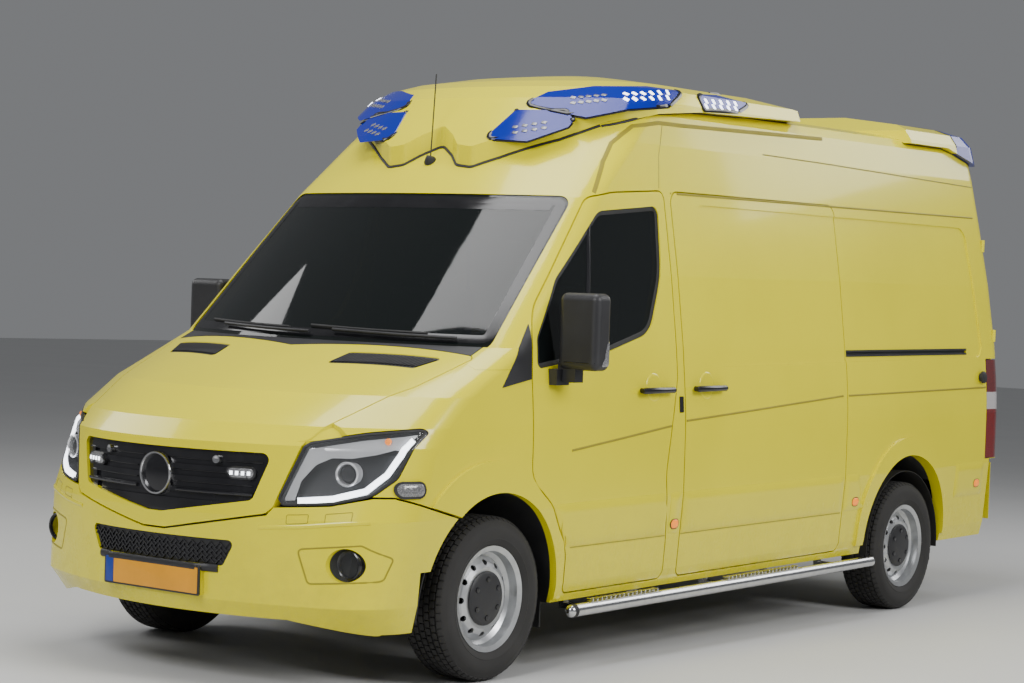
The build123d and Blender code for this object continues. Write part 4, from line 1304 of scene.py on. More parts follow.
class Nose(Assembly):
    """Grille details, lamps of the front and the blank plate."""

    def build(self) -> None:
        """Makes the pieces of the front."""
        self.grille()
        self.intake()
        self.plates()
        self.headlamp()
        self.fog()

    def grille(self) -> None:
        """Blank disc, ledge, warning lamps and round lamps on the grille."""
        face = Surface(["grille"])
        centre = STANCE.point(0.0, -0.985, 0.840)
        self.add(lathe("grille_disc_ring", centre, AHEAD, ((-0.02, 0.076), (0.012, 0.076), (0.017, 0.079),
                                                           (0.017, 0.085), (0.010, 0.088), (-0.02, 0.088))),
                 "stainless", "bonnet")
        self.add(lathe("grille_disc", centre, AHEAD, ((-0.02, 0.0), (-0.02, 0.077), (0.004, 0.077), (0.009, 0.05),
                                                      (0.011, 0.0))), "gloss_black", "bonnet")
        rows = [("grille_ledge", ((-0.46, 0.783), (-0.11, 0.783)), 0.016, 0.012, 0.004)]
        for z in (0.818, 0.864, 0.910):
            line = ((-0.455 - (z - 0.818) * 0.35, z), (-0.125 if z < 0.9 else -0.09, z))
            rows.append((f"grille_rib_{round(z * 1000)}", line, 0.009, 0.005, 0.002))
        self.beads(face, View.FRONT, "gloss_black", LID, *rows)
        x, z = 0.405, 0.866
        self.lamp(face, View.FRONT, (x, z), LID,
                  ("warning_lamp_body", "moulding_black", 0.062, 0.026, 0.014, 0.024, 0.0, 0.03, 0.012),
                  ("warning_lamp_lens", "lens_white", 0.054, 0.019, 0.0165, 0.004, 0.003, 0.015, 0.01))
        leds = face.spots(View.FRONT, [(x - 0.036 + 0.024 * k, z) for k in range(4)], 0.0195, Vector((0, 0, 1)))
        self.copies("warning_lamp_leds", box_mesh("led", (0.015, 0.013, 0.002), 0.0006), leds, "led_white", LID)
        place, normal = face.at(View.FRONT, 0.30, 0.915)
        self.add(lathe("grille_round_lamp", place - normal * 0.002, normal,
                       ((0.0, 0.0), (0.016, 0.0), (0.019, 0.008), (0.019, 0.016), (0.0, 0.017)), 24), "stainless", LID)

    def intake(self) -> None:
        """Diamond mesh and lip of the lower intake."""
        face = Surface(["bumper_grille"])
        ring = inset([(-0.396, 0.594), (0.396, 0.594), (0.344, 0.502), (-0.344, 0.502)], 0.008)
        spots: list[Spot] = []
        pitch = 0.022
        for row in range(9):
            for column in range(-20, 21):
                x, z = (column + row % 2 / 2) * pitch, 0.500 + row * pitch / 2
                if inside(Vector((x, z)), ring):
                    slope = 0.9 if (row + column) % 2 else -0.9
                    spots += face.spots(View.FRONT, [(x, z)], 0.0, LEAN @ Vector((1, 0, slope)))
        self.copies("intake_mesh", box_mesh("bar", (0.027, 0.0035, 0.007)), spots, "gloss_black")
        self.beads(Surface(["bumper_front"]), View.FRONT, "moulding_black", BODY,
                   ("intake_lip", ((-0.33, 0.484), (0.33, 0.484)), 0.030, 0.010, 0.004))

    def plates(self) -> None:
        """Blank number plates with frames, at the nose and on the left rear door."""
        spot, _ = Surface(["rear_door_left"]).at(View.REAR, 0.40, 0.93)
        for end, centre, across, body in (("front", STANCE.point(0.0, -1.001, 0.431), SIDE, BODY),
                                          ("rear", spot + Vector((0, 0.006, 0)), -SIDE, "rear_door_left")):
            out = across.cross(UP).normalized()
            for name, start, stop, half, radius, lift, thick, bevel, finish in (
                ("frame", -0.268, 0.268, 0.060, 0.01, -0.004, 0.010, 0.0015, "moulding_black"),
                ("field", -0.214, 0.260, 0.052, 0.006, 0.005, 0.0025, 0.0006, "plate_orange"),
                ("band", -0.260, -0.216, 0.052, 0.006, 0.005, 0.0025, 0.0006, "plate_blue"),
            ):
                self.add(plate(f"plate_{name}_{end}", centre + out * lift, across, UP,
                               oblong(start, -half, stop, half, radius), thick, bevel), finish, body)

    def headlamp(self) -> None:
        """Reflector, projector, light strip and rim of the headlamps."""
        lens = Surface(["headlamp_lenses"])
        ring = rounded(LAMP, (0.03, 0.15, 0.08, 0.06, 0.02, 0.2, 0.04))
        self.beads(lens, View.FRONT, "rubber", SHELL, ("headlamp_rim", inset(ring, 0.004), 0.009, 0.001, 0.002),
                   closed=True)
        mirror = ((0.585, 0.770), (0.655, 0.985), (0.812, 1.022), (0.950, 1.044), (0.938, 0.990), (0.870, 0.962),
                  (0.800, 0.945), (0.735, 0.944), (0.685, 0.915), (0.640, 0.850), (0.625, 0.775))
        self.patches(lens, View.FRONT, "lamp_bowl", SHELL,
                     ("headlamp_reflector", mirror, -0.018, 0.003, 0.0, 0.03, 0.012))
        strip = ((0.640, 0.772), (0.762, 0.786), (0.862, 0.820), (0.912, 0.884), (0.935, 0.960), (0.946, 1.020))
        self.beads(lens, View.FRONT, "led_white", SHELL, ("headlamp_light_strip", strip, 0.024, -0.006, 0.014),
                   spacing=0.015)
        out = (LEAN @ Vector((0.28, -1, 0))).normalized()
        base = lens.at(View.FRONT, 0.785, 0.880)[0] - out * 0.070
        bulb = lens.at(View.FRONT, 0.880, 1.010)[0] - out * 0.022
        for name, spot, profile, steps, finish in (
            ("projector_ring", base, ((0.0, 0.046), (0.052, 0.050), (0.056, 0.045), (0.050, 0.040), (0.0, 0.036)), 48,
             "lamp_bowl"),
            ("projector", base, ((0.0, 0.0), (0.0, 0.039), (0.026, 0.039), (0.040, 0.028), (0.046, 0.0)), 48,
             "lamp_dark"),
            ("indicator", bulb, ((0.0, 0.0), (0.0, 0.013), (0.010, 0.012), (0.014, 0.0)), 20, "led_amber"),
        ):
            self.add(lathe(f"headlamp_{name}", spot, out, profile, steps), finish, SHELL)

    def fog(self) -> None:
        """Rings and recess lines of the fog lamps, and the washer covers."""
        place, _ = Surface(["fog_lamps"]).at(View.FRONT, 0.828, 0.530)
        self.add(lathe("fog_ring", place - AHEAD * 0.010, AHEAD, ((0.0, 0.047), (0.012, 0.050), (0.015, 0.055),
                                                                  (0.012, 0.0595), (0.0, 0.0595))),
                 "gloss_black", SHELL)
        bumper = Surface(["bumper_front"])
        for name, radius, width, line in (
            ("fog_recess", 0.02, 0.007,
             ((0.655, 0.585), (0.880, 0.610), (0.955, 0.560), (0.935, 0.470), (0.700, 0.452))),
            ("washer_inner", 0.006, 0.003, ((0.610, 0.716), (0.690, 0.722), (0.690, 0.688), (0.610, 0.680))),
            ("washer_outer", 0.006, 0.003, ((0.750, 0.726), (0.840, 0.738), (0.842, 0.700), (0.752, 0.690))),
        ):
            # Recess and washer outlines in darkened yellow: painted shade in the recesses.
            self.beads(bumper, View.FRONT, "paint_groove", SHELL,
                       (name, rounded(line, [radius] * len(line)), width, 0.0012, 0.002), closed=True)
        fold = ((0.50, 0.660), (0.66, 0.672), (0.80, 0.690), (0.90, 0.700))
        self.beads(bumper, View.FRONT, "paint_yellow", SHELL, ("bumper_fold", fold, 0.016, 0.004, 0.002))


class Pods(Assembly):
    """Seals of the roof pods, rims and light units of their lenses, and the aerial's foot."""

    PLAN = ((0.0, 0.790), (0.095, 0.738), (0.157, 0.692), (0.240, 0.690), (0.350, 0.762), (0.560, 0.921),
            (0.627, 0.989), (0.687, 1.058))
    SIDE = ((1.059, 2.366), (1.311, 2.440), (1.700, 2.476), (2.700, 2.500))
    REAR = ((3.850, 2.470), (4.300, 2.470), (4.640, 2.390))
    LIGHTS = (
        ("lower", ((0.80, 2.305), (0.93, 2.330)), 4, "lens_white"),
        ("upper_front", ((1.06, 2.445), (1.20, 2.462)), 5, "lens_white"),
        ("upper_rear", ((1.30, 2.470), (1.50, 2.482)), 6, "led_white"),
        ("rear", ((1.70, 2.445), (1.86, 2.435)), 5, "led_white"),
    )

    def build(self) -> None:
        """Lays seals, rims and lights."""
        roof = Surface(["roof"])
        brow = rounded([(-a, b) for a, b in reversed(self.PLAN[1:])] + list(self.PLAN), [0.0] + [0.05] * 13 + [0.0])
        self.beads(roof, View.TOP, "rubber", BODY, ("pod_seal_brow", brow, 0.016, 0.007, 0.003), spacing=0.02)
        self.beads(roof, View.LEFT, "rubber", SHELL, ("pod_seal_side", self.SIDE, 0.014, 0.007, 0.003),
                   ("pod_seal_rear", self.REAR, 0.014, 0.006, 0.003))
        pods = Surface(["roof_pod_front", "blue_lenses"])
        rims = [(f"lens_rim_{name}", rounded(ring, [0.02] * len(ring), 4), 0.022, 0.005, 0.004)
                for name, ring in POD_LENSES]
        self.beads(pods, View.LENS, "gloss_black", SHELL, *rims, closed=True, spacing=0.02)
        for name, (first, last), count, finish in self.LIGHTS:
            places = [Vector(first).lerp(Vector(last), k / (count - 1)) - Vector((0, 0.024 * row))
                      for k in range(count) for row in range(2)]
            self.copies(f"pod_lights_{name}", box_mesh("unit", (0.026, 0.018, 0.003), 0.001),
                        pods.spots(View.LENS, places, -0.0005, SIDE), finish, SHELL)
        self.beads(Surface(["blue_lenses"]), View.LEFT, "rubber", SHELL,
                   ("rear_pod_joint", ((4.402, 2.478), (4.402, 2.60)), 0.010, 0.003, 0.004), spacing=0.015)
        place, normal = roof.at(View.TOP, -0.010, 0.706)
        self.add(lathe("aerial_foot", place - normal * 0.004, normal,
                       ((0.0, 0.0), (0.0, 0.030), (0.012, 0.028), (0.030, 0.012), (0.042, 0.0)), 28), "rubber")


class Sides(Assembly):
    """Seams, creases, cladding bands, marker lamps and lock plates along the sides."""

    BAND = (0.522, 0.712)
    GROOVE = ((0.80, 2.055), (0.93, 2.20), (1.024, 2.289), (1.10, 2.335), (1.172, 2.375), (1.368, 2.403),
              (1.56, 2.404), (2.91, 2.430))

    def build(self) -> None:
        """Lays the pieces of both sides."""
        side = Surface(["side_walls", "sliding_doors", "front_wings", "roof"])
        door = Surface(["front_door_left"])
        # Gutter, joints, creases, seams and the roof groove in darkened yellow: painted shade in the grooves and
        # creases; along the seams it is also the joint's dark.
        self.beads(side, View.LEFT, "paint_groove", SHELL,
                   ("side_gutter", ((1.40, 2.080), (4.56, 2.088)), 0.010, 0.004, 0.002),
                   ("side_upper_joint", ((2.28, 2.312), (2.94, 2.302), (4.60, 2.264)), 0.007, 0.0016, 0.002),
                   ("side_crease_slider", ((1.412, 1.037), (2.897, 1.118)), 0.010, 0.0025, 0.002),
                   ("side_crease_rear", ((2.955, 1.118), (4.560, 1.129)), 0.010, 0.0025, 0.002),
                   ("side_low_seam_slider", ((1.412, 0.516), (2.925, 0.516)), 0.005, 0.0010, 0.002),
                   ("side_roof_seam", ((1.31, 2.100), (1.335, 2.25), (1.40, 2.400)), 0.005, 0.0010, 0.002),
                   ("roof_groove", self.GROOVE, 0.020, 0.0012, 0.002))
        # Door crease and low seam in darkened yellow: painted shade in the crease; at the seam it is also the joint's
        # dark.
        self.beads(door, View.LEFT, "paint_groove", DOORS,
                   ("door_crease", ((0.506, 0.938), (0.90, 0.978), (1.285, 1.018)), 0.010, 0.0025, 0.002),
                   ("door_low_seam", ((0.535, 0.517), (1.280, 0.516)), 0.005, 0.0010, 0.002))
        low, high = self.BAND
        for name, start, end, lean, tip, surface, bodies in (
            ("door", 0.470, 1.281, 0.075, 0.0, door, DOORS), ("pillar", 1.303, 1.384, 0.0, 0.0, side, SHELL),
            ("slider", 1.412, 2.924, 0.0, 0.0, side, SHELL), ("middle", 2.952, 3.150, 0.0, 0.060, side, SHELL),
            ("tail", 4.215, 4.560, 0.0, 0.0, side, SHELL),
        ):
            ring = rounded([(start - lean, high), (end - tip, high), (end, low), (start, low)], [0.012] * 4)
            self.patches(surface, View.LEFT, "paint_yellow", bodies,
                         (f"band_{name}", ring, 0.0008, 0.004, 0.006, 0.035, 0.022))
        for name, s, z, half in (("front", 1.343, 0.567, 0.034), ("middle", 3.062, 0.567, 0.036),
                                 ("tail", 4.478, 0.590, 0.036)):
            self.lamp(side, View.LEFT, (s, z), SHELL,
                      (f"marker_base_{name}", "moulding_black", half, 0.024, 0.008, 0.012, 0.0, 0.03, 0.012),
                      (f"marker_lens_{name}", "led_amber", half - 0.004, 0.020, 0.0085, 0.004, 0.006, 0.018, 0.008))
        self.patches(side, View.LEFT, "gloss_black", SHELL,
                     ("lock_plate", oblong(1.352, 1.077, 1.384, 1.150, 0.004), 0.003, 0.006))
        self.wing_lamp()

    def wing_lamp(self) -> None:
        """Grey warning lamp on the front wing."""
        wing = Surface(["front_wings"])
        s, z = -0.556, 0.824
        self.lamp(wing, View.LEFT, (s, z), SHELL,
                  ("wing_lamp_base", "rubber", 0.070, 0.034, 0.007, 0.012, 0.0, 0.03, 0.014),
                  ("wing_lamp_lens", "lens_white", 0.060, 0.025, 0.0075, 0.004, 0.006, 0.02, 0.01))
        cells = wing.spots(View.LEFT, [(s - 0.036 + 0.024 * k, z) for k in range(4)], 0.0128, Vector((0, 1, 0)))
        self.copies("wing_lamp_cells", box_mesh("cell", (0.017, 0.020, 0.0025), 0.001), cells, "lens_white", SHELL)


class Handles(Assembly):
    """Black sleeves and pressed dishes of the side door handles, and the rear door's handle."""

    RINGS = ((0.064, 0.0000), (0.060, 0.0030), (0.055, 0.0034), (0.048, 0.0026), (0.036, 0.0014), (0.018, 0.0007))

    def build(self) -> None:
        """Makes the handles' pieces."""
        for name, fore, aft, panel, bodies in (("front", 1.011, 1.276, "front_door_left", DOORS),
                                               ("slider", 1.460, 1.722, "sliding_doors", SHELL)):
            ends = (fore - 0.0008, fore + 0.003, fore + 0.014, aft - 0.014, aft - 0.003, aft + 0.0008)
            path = [STANCE.point(1.003, s, 1.183) for s in ends]
            self.add(self.capsule(f"handle_{name}", path, 0.0146), "gloss_black", bodies)
            for end, s in (("fore", fore + 0.030), ("aft", aft - 0.030)):
                foot = [STANCE.point(x, s, 1.183) for x in (0.972, 1.000)]
                self.add(tube(f"handle_{name}_{end}_foot", foot, 0.0122, 18), "gloss_black", bodies)
            dish = self.dish(f"handle_{name}_dish", (fore + aft) / 2, 1.196, Surface([panel]))
            self.add(dish, "paint_yellow", bodies)
        place, normal = Surface(["rear_door_left"]).at(View.REAR, 0.075, 1.150)
        self.add(plate("rear_handle_plate", place - normal * 0.002, -SIDE, Vector((0, 0, 1)),
                       oblong(-0.045, -0.022, 0.095, 0.022, 0.012), 0.010, 0.002), "moulding_black", "rear_door_left")
        bar = [place + normal * 0.024 + SIDE * x for x in (-0.035, 0.0, 0.035, 0.078)]
        self.add(tube("rear_handle_bar", [place, *bar, place + SIDE * 0.080], 0.009), "gloss_black", "rear_door_left")

    @staticmethod
    def capsule(name: str, path: Sequence[Vector], radius: float) -> Obj:
        """A bar with closing ends.

        Args:
            name: the piece's name.
            path: places along it.
            radius: its radius.

        Returns:
            The mesh object.
        """
        reach = [(p - path[0]).length for p in path[1:]]
        widths = (radius * 0.72, radius, radius, radius * 0.72, 0.0)
        return lathe(name, path[0], path[-1] - path[0], [(0.0, 0.0), *zip(reach, widths)], 24)

    def dish(self, name: str, s: float, z: float, surface: Surface) -> Obj:
        """A shallow round dish with a soft rim.

        Args:
            name: the piece's name.
            s: rearwards place of its middle.
            z: its height.
            surface: the panel.

        Returns:
            The mesh object.
        """
        (low, below), (high, above) = (surface.at(View.LEFT, s, z + a) for a in (-0.09, 0.09))
        points: list[Vector] = []
        steps = 36
        for radius, lift in (*self.RINGS, (0.0, 0.0005)):
            for a, b in circle(radius, steps) if radius else [(0.0, 0.0)]:
                share = (b + 0.09) / 0.18
                points.append(low.lerp(high, share) + BACK * a + below.lerp(above, share) * lift)
        last = (len(self.RINGS) - 1) * steps
        faces = skin(len(self.RINGS), steps)
        faces += [(last + k, last + (k + 1) % steps, len(points) - 1) for k in range(steps)]
        return mesh_object(name, points, faces)


class Mirrors(Assembly):
    """Glasses, rims and lamps of the door mirrors."""

    def build(self) -> None:
        """Makes the pieces on both mirror heads."""
        head = Surface(["mirror_left"])
        for name, z, high in (("main", 1.492, 0.094), ("wide", 1.347, 0.036)):
            centre = STANCE.point(1.090, 0.4755, z)
            self.add(plate(f"mirror_glass_{name}", centre, -SIDE, UP, oblong(-0.080, -high, 0.080, high, 0.02),
                           0.0025, 0.0008), "mirror_glass", DOORS)
            rim = oblong(-0.085, -high - 0.005, 0.085, high + 0.005, 0.022)
            track = [(centre - SIDE * a + UP * b, -SIDE.cross(UP)) for a, b in dense(rim, 0.02)]
            self.add(sweep(f"mirror_rim_{name}", track, 0.010, 0.005, 0.001, True), "gloss_black", DOORS)
        lamp = rounded([(0.400, 1.306), (0.462, 1.312), (0.462, 1.420), (0.440, 1.400), (0.425, 1.340)], [0.01] * 5)
        self.patches(head, View.LEFT, "lens_white", DOORS, ("mirror_lamp", lamp, 0.002, 0.004, 0.003, 0.012, 0.01))
        self.beads(head, View.FRONT, "gloss_black", DOORS,
                   ("mirror_joint", ((1.000, 1.322), (1.180, 1.322)), 0.005, 0.0012, 0.001))


class Wheels(Assembly):
    """Treads, centre caps and bolts of the wheels."""

    WALL = ((-0.0820, 0.2035), (-0.0880, 0.2220), (-0.0935, 0.2225), (-0.1000, 0.2300), (-0.1085, 0.2480),
            (-0.1095, 0.2500), (-0.1085, 0.2520), (-0.1125, 0.2760), (-0.1115, 0.2900), (-0.1080, 0.3040),
            (-0.1065, 0.3060), (-0.1050, 0.3080), (-0.0980, 0.3250), (-0.0880, 0.3330))
    ROWS = ((0.0, 0.0, 0.0), (0.030, 0.0, 0.5), (-0.030, 0.0, 0.5), (0.060, 2.0, 0.0), (-0.060, 2.0, 0.0),
            (0.0845, 32.0, 0.5), (-0.0845, 32.0, 0.5))
    CAP = ((0.004, 0.070), (0.0045, 0.112), (0.010, 0.113), (0.016, 0.104), (0.0165, 0.098), (0.0185, 0.092),
           (0.0225, 0.050), (0.024, 0.0), (0.014, 0.0))

    def build(self) -> None:
        """Dresses each wheel from its CAD tyre's place."""
        for end in ("front", "rear"):
            for side in ("left", "right"):
                self.wheel(f"{end}_{side}", SIDE if side == "left" else -SIDE)

    def wheel(self, name: str, out: Vector) -> None:
        """One wheel's visual tyre with tread blocks, its cap and its bolts.

        Args:
            name: the wheel's end and side.
            out: its outward direction.
        """
        low, high = (Vector(v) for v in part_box(f"tyre_{name}"))
        middle, radius = (low + high) / 2, (high.z - low.z) / 2
        body = f"wheel_{name}"
        crown = [(a / 1000, radius - (0.008 if k % 2 else 0.0065)) for k, a in enumerate(range(-80, 81, 10))]
        profile = [*self.WALL, *crown, *((-a, r) for a, r in reversed(self.WALL))]
        tyre = lathe(f"tyre_{name}_visual", middle, out, profile, 96)
        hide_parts(f"tyre_{name}")
        self.add(tyre, "tyre_rubber", body)
        spots: list[Spot] = []
        count = 64
        for offset, tilt, phase in self.ROWS:
            reach = radius - 0.0085 - (0.0055 if tilt > 10 else 0.0)
            lean = math.copysign(math.radians(tilt), offset)
            for k in range(count):
                spoke, run = spin((k + phase) / count)
                face = spoke * math.cos(lean) + out * math.sin(lean)
                spots.append((middle + out * offset + spoke * reach, face, run))
        self.copies(f"tread_{name}", box_mesh("block", (0.0275, 0.0225, 0.0084), 0.0012), spots, "tyre_rubber", body)
        hub = middle + out * 0.062
        self.add(lathe(f"centre_cap_{name}", hub, out, self.CAP), "moulding_black", body)
        spokes = [spin((k + 0.5) / 6)[0] for k in range(6)]
        bolts = [(hub + out * 0.0195 + spoke * 0.080, out, spoke) for spoke in spokes]
        nut = lathe("nut", Vector(), Vector((0, 0, 1)), ((0.0, 0.0), (0.0, 0.012), (0.004, 0.0115), (0.0055, 0.0)), 18)
        self.copies(f"bolts_{name}", nut, bolts, "gloss_black", body)


def spin(share: float) -> tuple[Vector, Vector]:
    """Outward and forward directions at a share of a wheel's turn."""
    turn = 2 * math.pi * share
    return Vector((0, math.cos(turn), math.sin(turn))), Vector((0, -math.sin(turn), math.cos(turn)))


class Rear(Assembly):
    """Hinges, buffers, seals and lamps of the tail."""

    BUFFER = ((0.0, 0.0), (0.0, 0.024), (0.012, 0.024), (0.016, 0.034), (0.026, 0.034), (0.030, 0.028), (0.031, 0.0))

    def build(self) -> None:
        """Makes the pieces of the rear."""
        corner = Surface(["side_walls", "roof", "tail_lamps"])
        for name, s, z in (("low", 4.690, 1.420), ("high", 4.655, 1.930)):
            place, normal = corner.at(View.LEFT, s, z)
            spots = [place + normal * 0.006 + Vector((0, 0, a)) for a in (-0.034, 0.034)]
            self.add(tube(f"rear_hinge_{name}", spots, 0.010, 16), "paint_yellow", SHELL)
        place, normal = Surface(["side_walls"]).at(View.LEFT, 4.500, 1.186)
        self.add(lathe("door_buffer", place - normal * 0.003, normal, self.BUFFER, 28), "rubber", SHELL)
        door = Surface(["rear_door_left"])
        self.beads(door, View.REAR, "rubber", "rear_door_left",
                   ("rear_door_joint", ((0.0125, 0.760), (0.0125, 2.330)), 0.014, 0.004, 0.002))
        # Tail door creases in darkened yellow: painted shade in the creases.
        self.beads(door, View.REAR, "paint_groove", TAIL_DOORS,
                   ("rear_crease_low", ((0.06, 1.06), (0.40, 1.06), (0.78, 1.06)), 0.010, 0.0025, 0.002),
                   ("rear_crease_high", ((0.06, 1.33), (0.82, 1.33)), 0.010, 0.0025, 0.002))
        self.patches(Surface(["roof"]), View.REAR, "lens_red", BODY,
                     ("high_brake_lamp", oblong(-0.15, 2.392, 0.15, 2.424, 0.008), 0.006, 0.012, 0.003, 0.012, 0.012))
        bumper = Surface(["bumper_rear"])
        self.patches(bumper, View.REAR, "moulding_black", BODY,
                     ("rear_bumper_pad", oblong(-0.55, 0.690, 0.55, 0.560, 0.02), 0.004, 0.008, 0.003, 0.02, 0.04))
        self.patches(bumper, View.REAR, "lens_red", SHELL,
                     ("rear_reflector", shifted(circle(0.028, 24), 0.70, 0.60), 0.003, 0.006, 0.002, 0.01, 0.01))


class Steps(Assembly):
    """Toothed treads and end caps of the side step tubes, and the rear step's grip."""

    CAP = ((-0.020, 0.0282), (-0.020, 0.0292), (0.002, 0.0292), (0.007, 0.022), (0.008, 0.0), (-0.010, 0.0))

    def build(self) -> None:
        """Lays the teeth in rows along the tubes."""
        for side, sign in (("left", 1), ("right", -1)):
            for name, start, end in (("front", 0.63, 1.18), ("slider", 1.75, 2.45)):
                first, last = (STANCE.point(sign * 1.008, s, 0.2765) for s in (start, end))
                track = [(first.lerp(last, k / 8), UP) for k in range(9)]
                self.add(sweep(f"step_bed_{name}_{side}", track, 0.040, 0.004, 0.010, False), "stainless")
                spots = [(STANCE.point(sign * 1.008, start + 0.018 + 0.034 * k, 0.280), UP, SIDE)
                         for k in range(int((end - start) / 0.034))]
                tooth = box_mesh("tooth", (0.036, 0.007, 0.012), 0.0018)
                self.copies(f"step_teeth_{name}_{side}", tooth, spots, "stainless")
            end = STANCE.point(sign * 1.010, 0.5062, 0.250)
            self.add(lathe(f"step_cap_{side}", end, AHEAD, self.CAP, 28), "rubber")
        spots = [(STANCE.point(-0.40 + 0.04 * k, 4.915, 0.3532), UP, BACK) for k in range(21)]
        self.copies("rear_step_teeth", box_mesh("tooth", (0.030, 0.010, 0.003), 0.0008), spots, "stainless")


class Liners(Assembly):
    """Dark liners inside the rear wheel arches and fillers at the bonnet's front corners."""

    CORNER = ((0.638, -0.800, 1.002), (0.690, -0.742, 1.012), (0.730, -0.700, 1.020), (0.722, -0.692, 1.042),
              (0.682, -0.692, 1.058), (0.650, -0.752, 1.040))

    def build(self) -> None:
        """Bends the liners over the rear wheels and closes the corners."""
        low, high = (Vector(v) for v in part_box("tyre_rear_left"))
        middle = (low + high) / 2
        steps, reach = 24, 0.402
        section = ((0.700, 0.0), (0.702, reach), (0.948, reach), (0.948, reach + 0.003), (0.702, reach + 0.003),
                   (0.696, 0.0))
        points: list[Vector] = []
        for k in range(steps + 1):
            spoke, _ = spin((-4 + 188 * k / steps) / 360)
            points += [Vector((x, middle.y, middle.z)) + spoke * radius for x, radius in section]
        self.add(mesh_object("arch_liner", points, skin(steps + 1, len(section))), "underbody", SHELL)
        tops = [STANCE.point(*corner) for corner in self.CORNER]
        out = (LEAN @ Vector((0.5, -1.0, 0.6))).normalized()
        points = [p + out * 0.0005 for p in tops] + [p - out * 0.006 for p in tops]
        self.add(mesh_object("bonnet_corner", points, skin(2, len(tops), capped=True)), "paint_yellow", LID)


class Vents(Assembly):
    """Slats of the bonnet's air vents."""

    def build(self) -> None:
        """Lays slats between each vent's front and rear edges."""
        face = Surface(["bonnet_vents"])
        spots: list[Spot] = []
        count = 24
        for k in range(count):
            t = (k + 0.5) / count
            front = Vector((0.326, -0.346)).lerp(Vector((0.698, -0.236)), t)
            rear = Vector((0.348, -0.226)).lerp(Vector((0.750, -0.114)), t)
            run = rear - front
            spots += face.spots(View.TOP, [(front + rear) / 2], -0.001, LEAN @ Vector((run.x, run.y, run.y * 0.25)))
        self.copies("vent_slats", box_mesh("slat", (0.104, 0.006, 0.008), 0.0015), spots, "moulding_black", LID)


class Cabin(Assembly):
    """Padded seats with their bases, and details of the dashboard."""

    def build(self) -> None:
        """Makes the cab's pieces."""
        across, along = SIDE, Vector((0, 1, 0))
        for name, mid in (("driver", 0.425), ("passenger", -0.425)):
            base = plate(f"seat_base_{name}", STANCE.point(mid, 0.985, 0.588), across, along,
                         oblong(-0.21, -0.20, 0.21, 0.20, 0.03), 0.325, 0.01)
            if name == "driver":
                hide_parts("cab_seats")
            self.add(base, "cabin_moulding")
            for part, s, z, size, lean, crown, radius in (
                ("cushion", 0.985, 0.972, (0.51, 0.50, 0.120), 3.0, 0.014, 0.045),
                ("back", 1.225, 1.300, (0.49, 0.62, 0.115), 80.0, 0.010, 0.045),
                ("head", 1.290, 1.725, (0.255, 0.175, 0.085), 84.0, 0.006, 0.035),
            ):
                piece = cushion(f"seat_{part}_{name}", STANCE.point(mid, s, z), size, lean, crown, radius)
                self.add(piece, "seat_cover")
            for end, x in (("a", mid - 0.06), ("b", mid + 0.06)):
                post = [STANCE.point(x, 1.268, 1.590), STANCE.point(x, 1.284, 1.660)]
                self.add(tube(f"seat_post_{name}_{end}", post, 0.006, 12), "stainless")
        top = Surface(["dashboard"])
        self.patches(top, View.TOP, "cabin_moulding", BODY,
                     ("instrument_hood", oblong(0.25, 0.235, 0.60, 0.330, 0.04), 0.030, 0.040, 0.020, 0.05, 0.03))
        self.patches(top, View.TOP, "gloss_black", BODY,
                     *((f"dash_vent_{k}", oblong(x - 0.07, 0.02, x + 0.07, 0.06, 0.01), 0.003, 0.006)
                       for k, x in enumerate((-0.72, -0.12, 0.12, 0.72))))
        self.add(plate("inner_mirror", STANCE.point(0.0, 0.700, 1.900), -SIDE, Vector((0, 0, 1)),
                       oblong(-0.11, -0.03, 0.11, 0.03, 0.02), 0.018, 0.005), "moulding_black")


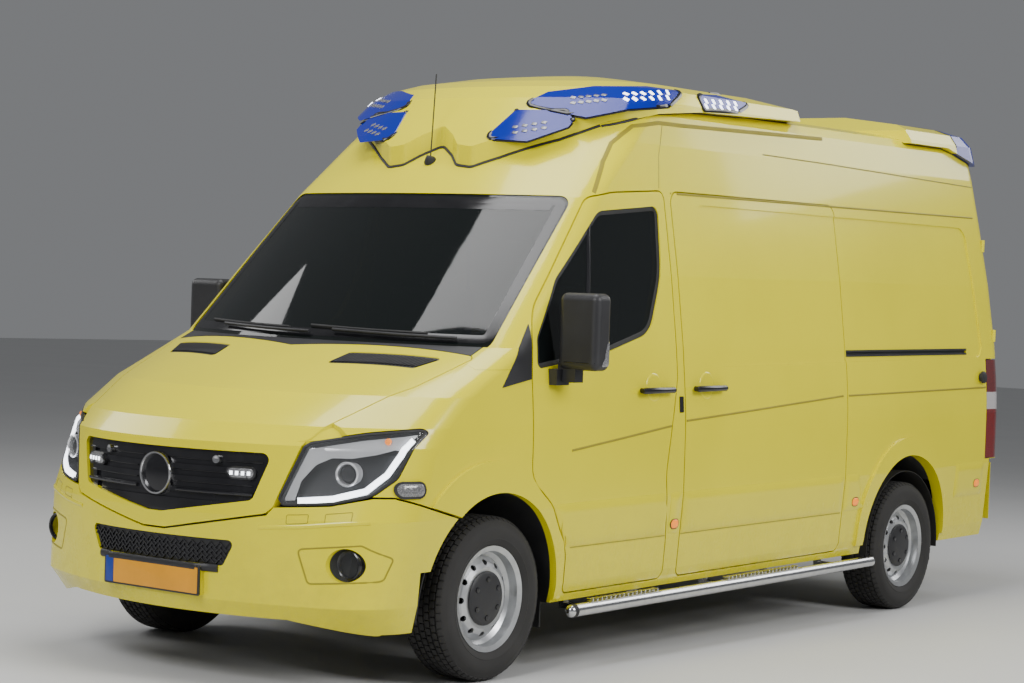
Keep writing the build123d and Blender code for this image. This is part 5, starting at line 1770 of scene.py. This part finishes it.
@dataclass
class Studio:
    """Floor, soft lights and the camera of the photograph.

    Args:
        place: the camera's place.
        azimuth: its bearing, in degrees.
        elevation: its height angle.
        roll: its lean.
        focal: focal length in pixels of the picture.
        width: the picture's width in pixels.
        sensor: the sensor's width in millimetres.
        lights: place, size and power of each soft light.
    """

    place: tuple[float, float, float] = (6.7208, -9.5983, 1.5874)
    azimuth: float = 36.798
    elevation: float = 1.0723
    roll: float = 2.395
    focal: float = 2323.54
    width: int = 1024
    sensor: float = 36.0
    lights: tuple[tuple[float, ...], ...] = (
        (1.5, -8.5, 5.5, 3.0, 430.0), (7.5, -1.0, 5.0, 3.0, 420.0), (-6.5, -3.0, 5.0, 4.0, 200.0),
        (3.0, 7.5, 5.5, 4.0, 220.0), (0.0, -1.0, 7.5, 4.0, 330.0),
    )

    def build(self) -> None:
        """Makes the stage, lights and camera."""
        self.floor()
        for x, y, z, size, power in self.lights:
            lamp = bpy.data.lights.new("soft_light", "AREA")
            lamp.shape, lamp.size, lamp.energy = "SQUARE", size, power
            obj = linked("soft_light", lamp)
            obj.location = (x, y, z)
            obj.rotation_euler = (Vector((0, 0, 0.9)) - obj.location).to_track_quat("-Z", "Y").to_euler()
        world = bpy.data.worlds.new("studio")
        world.use_nodes = True
        sky = world.node_tree.nodes["Background"].inputs
        sky["Color"].default_value, sky["Strength"].default_value = (0.80, 0.82, 0.85, 1.0), 0.24
        bpy.context.scene.world = world
        self.camera()

    def floor(self) -> None:
        """A plain pale floor."""
        mesh = bpy.data.meshes.new("floor")
        reach = 40.0
        mesh.from_pydata([(a * reach, b * reach, 0) for a, b in ((-1, -1), (1, -1), (1, 1), (-1, 1))], [],
                         [(0, 1, 2, 3)])
        floor = linked("floor", mesh)
        graph = Graph("floor_pale")
        graph.feed("Base Color", graph.blend(graph.noise(0.8), (0.62, 0.62, 0.61), (0.56, 0.56, 0.56)))
        graph.set(Roughness=0.55)
        mesh.materials.append(graph.material)

    def camera(self) -> None:
        """The camera at the photograph's place."""
        az, el, roll = (math.radians(v) for v in (self.azimuth, self.elevation, self.roll))
        back = Vector((math.sin(az) * math.cos(el), -math.cos(az) * math.cos(el), math.sin(el)))
        right = (-back).cross(Vector((0, 0, 1))).normalized()
        up = right.cross(-back)
        turned = (right * math.cos(roll) + up * math.sin(roll), -right * math.sin(roll) + up * math.cos(roll), back)
        matrix = Matrix(turned).transposed().to_4x4()
        matrix.translation = Vector(self.place)
        data = bpy.data.cameras.new("camera")
        data.sensor_width, data.lens, data.clip_end = self.sensor, self.focal / self.width * self.sensor, 200.0
        obj = linked("camera", data)
        obj.matrix_world = matrix
        bpy.context.scene.camera = obj


def main() -> None:
    """Builds every sub-assembly in order."""
    logging.basicConfig(level=logging.INFO, format="%(name)s: %(message)s")
    Studio().build()
    look, repeat = Look(), Repeat()
    for kind in (Frame, Glazing, Nose, Pods, Sides, Handles, Mirrors, Wheels, Rear, Steps, Liners, Vents, Cabin):
        group = kind(look, repeat)
        group.build()
        LOG.info("%s: %d pieces", kind.__name__, group.count)


if __name__ == "__main__":
    main()
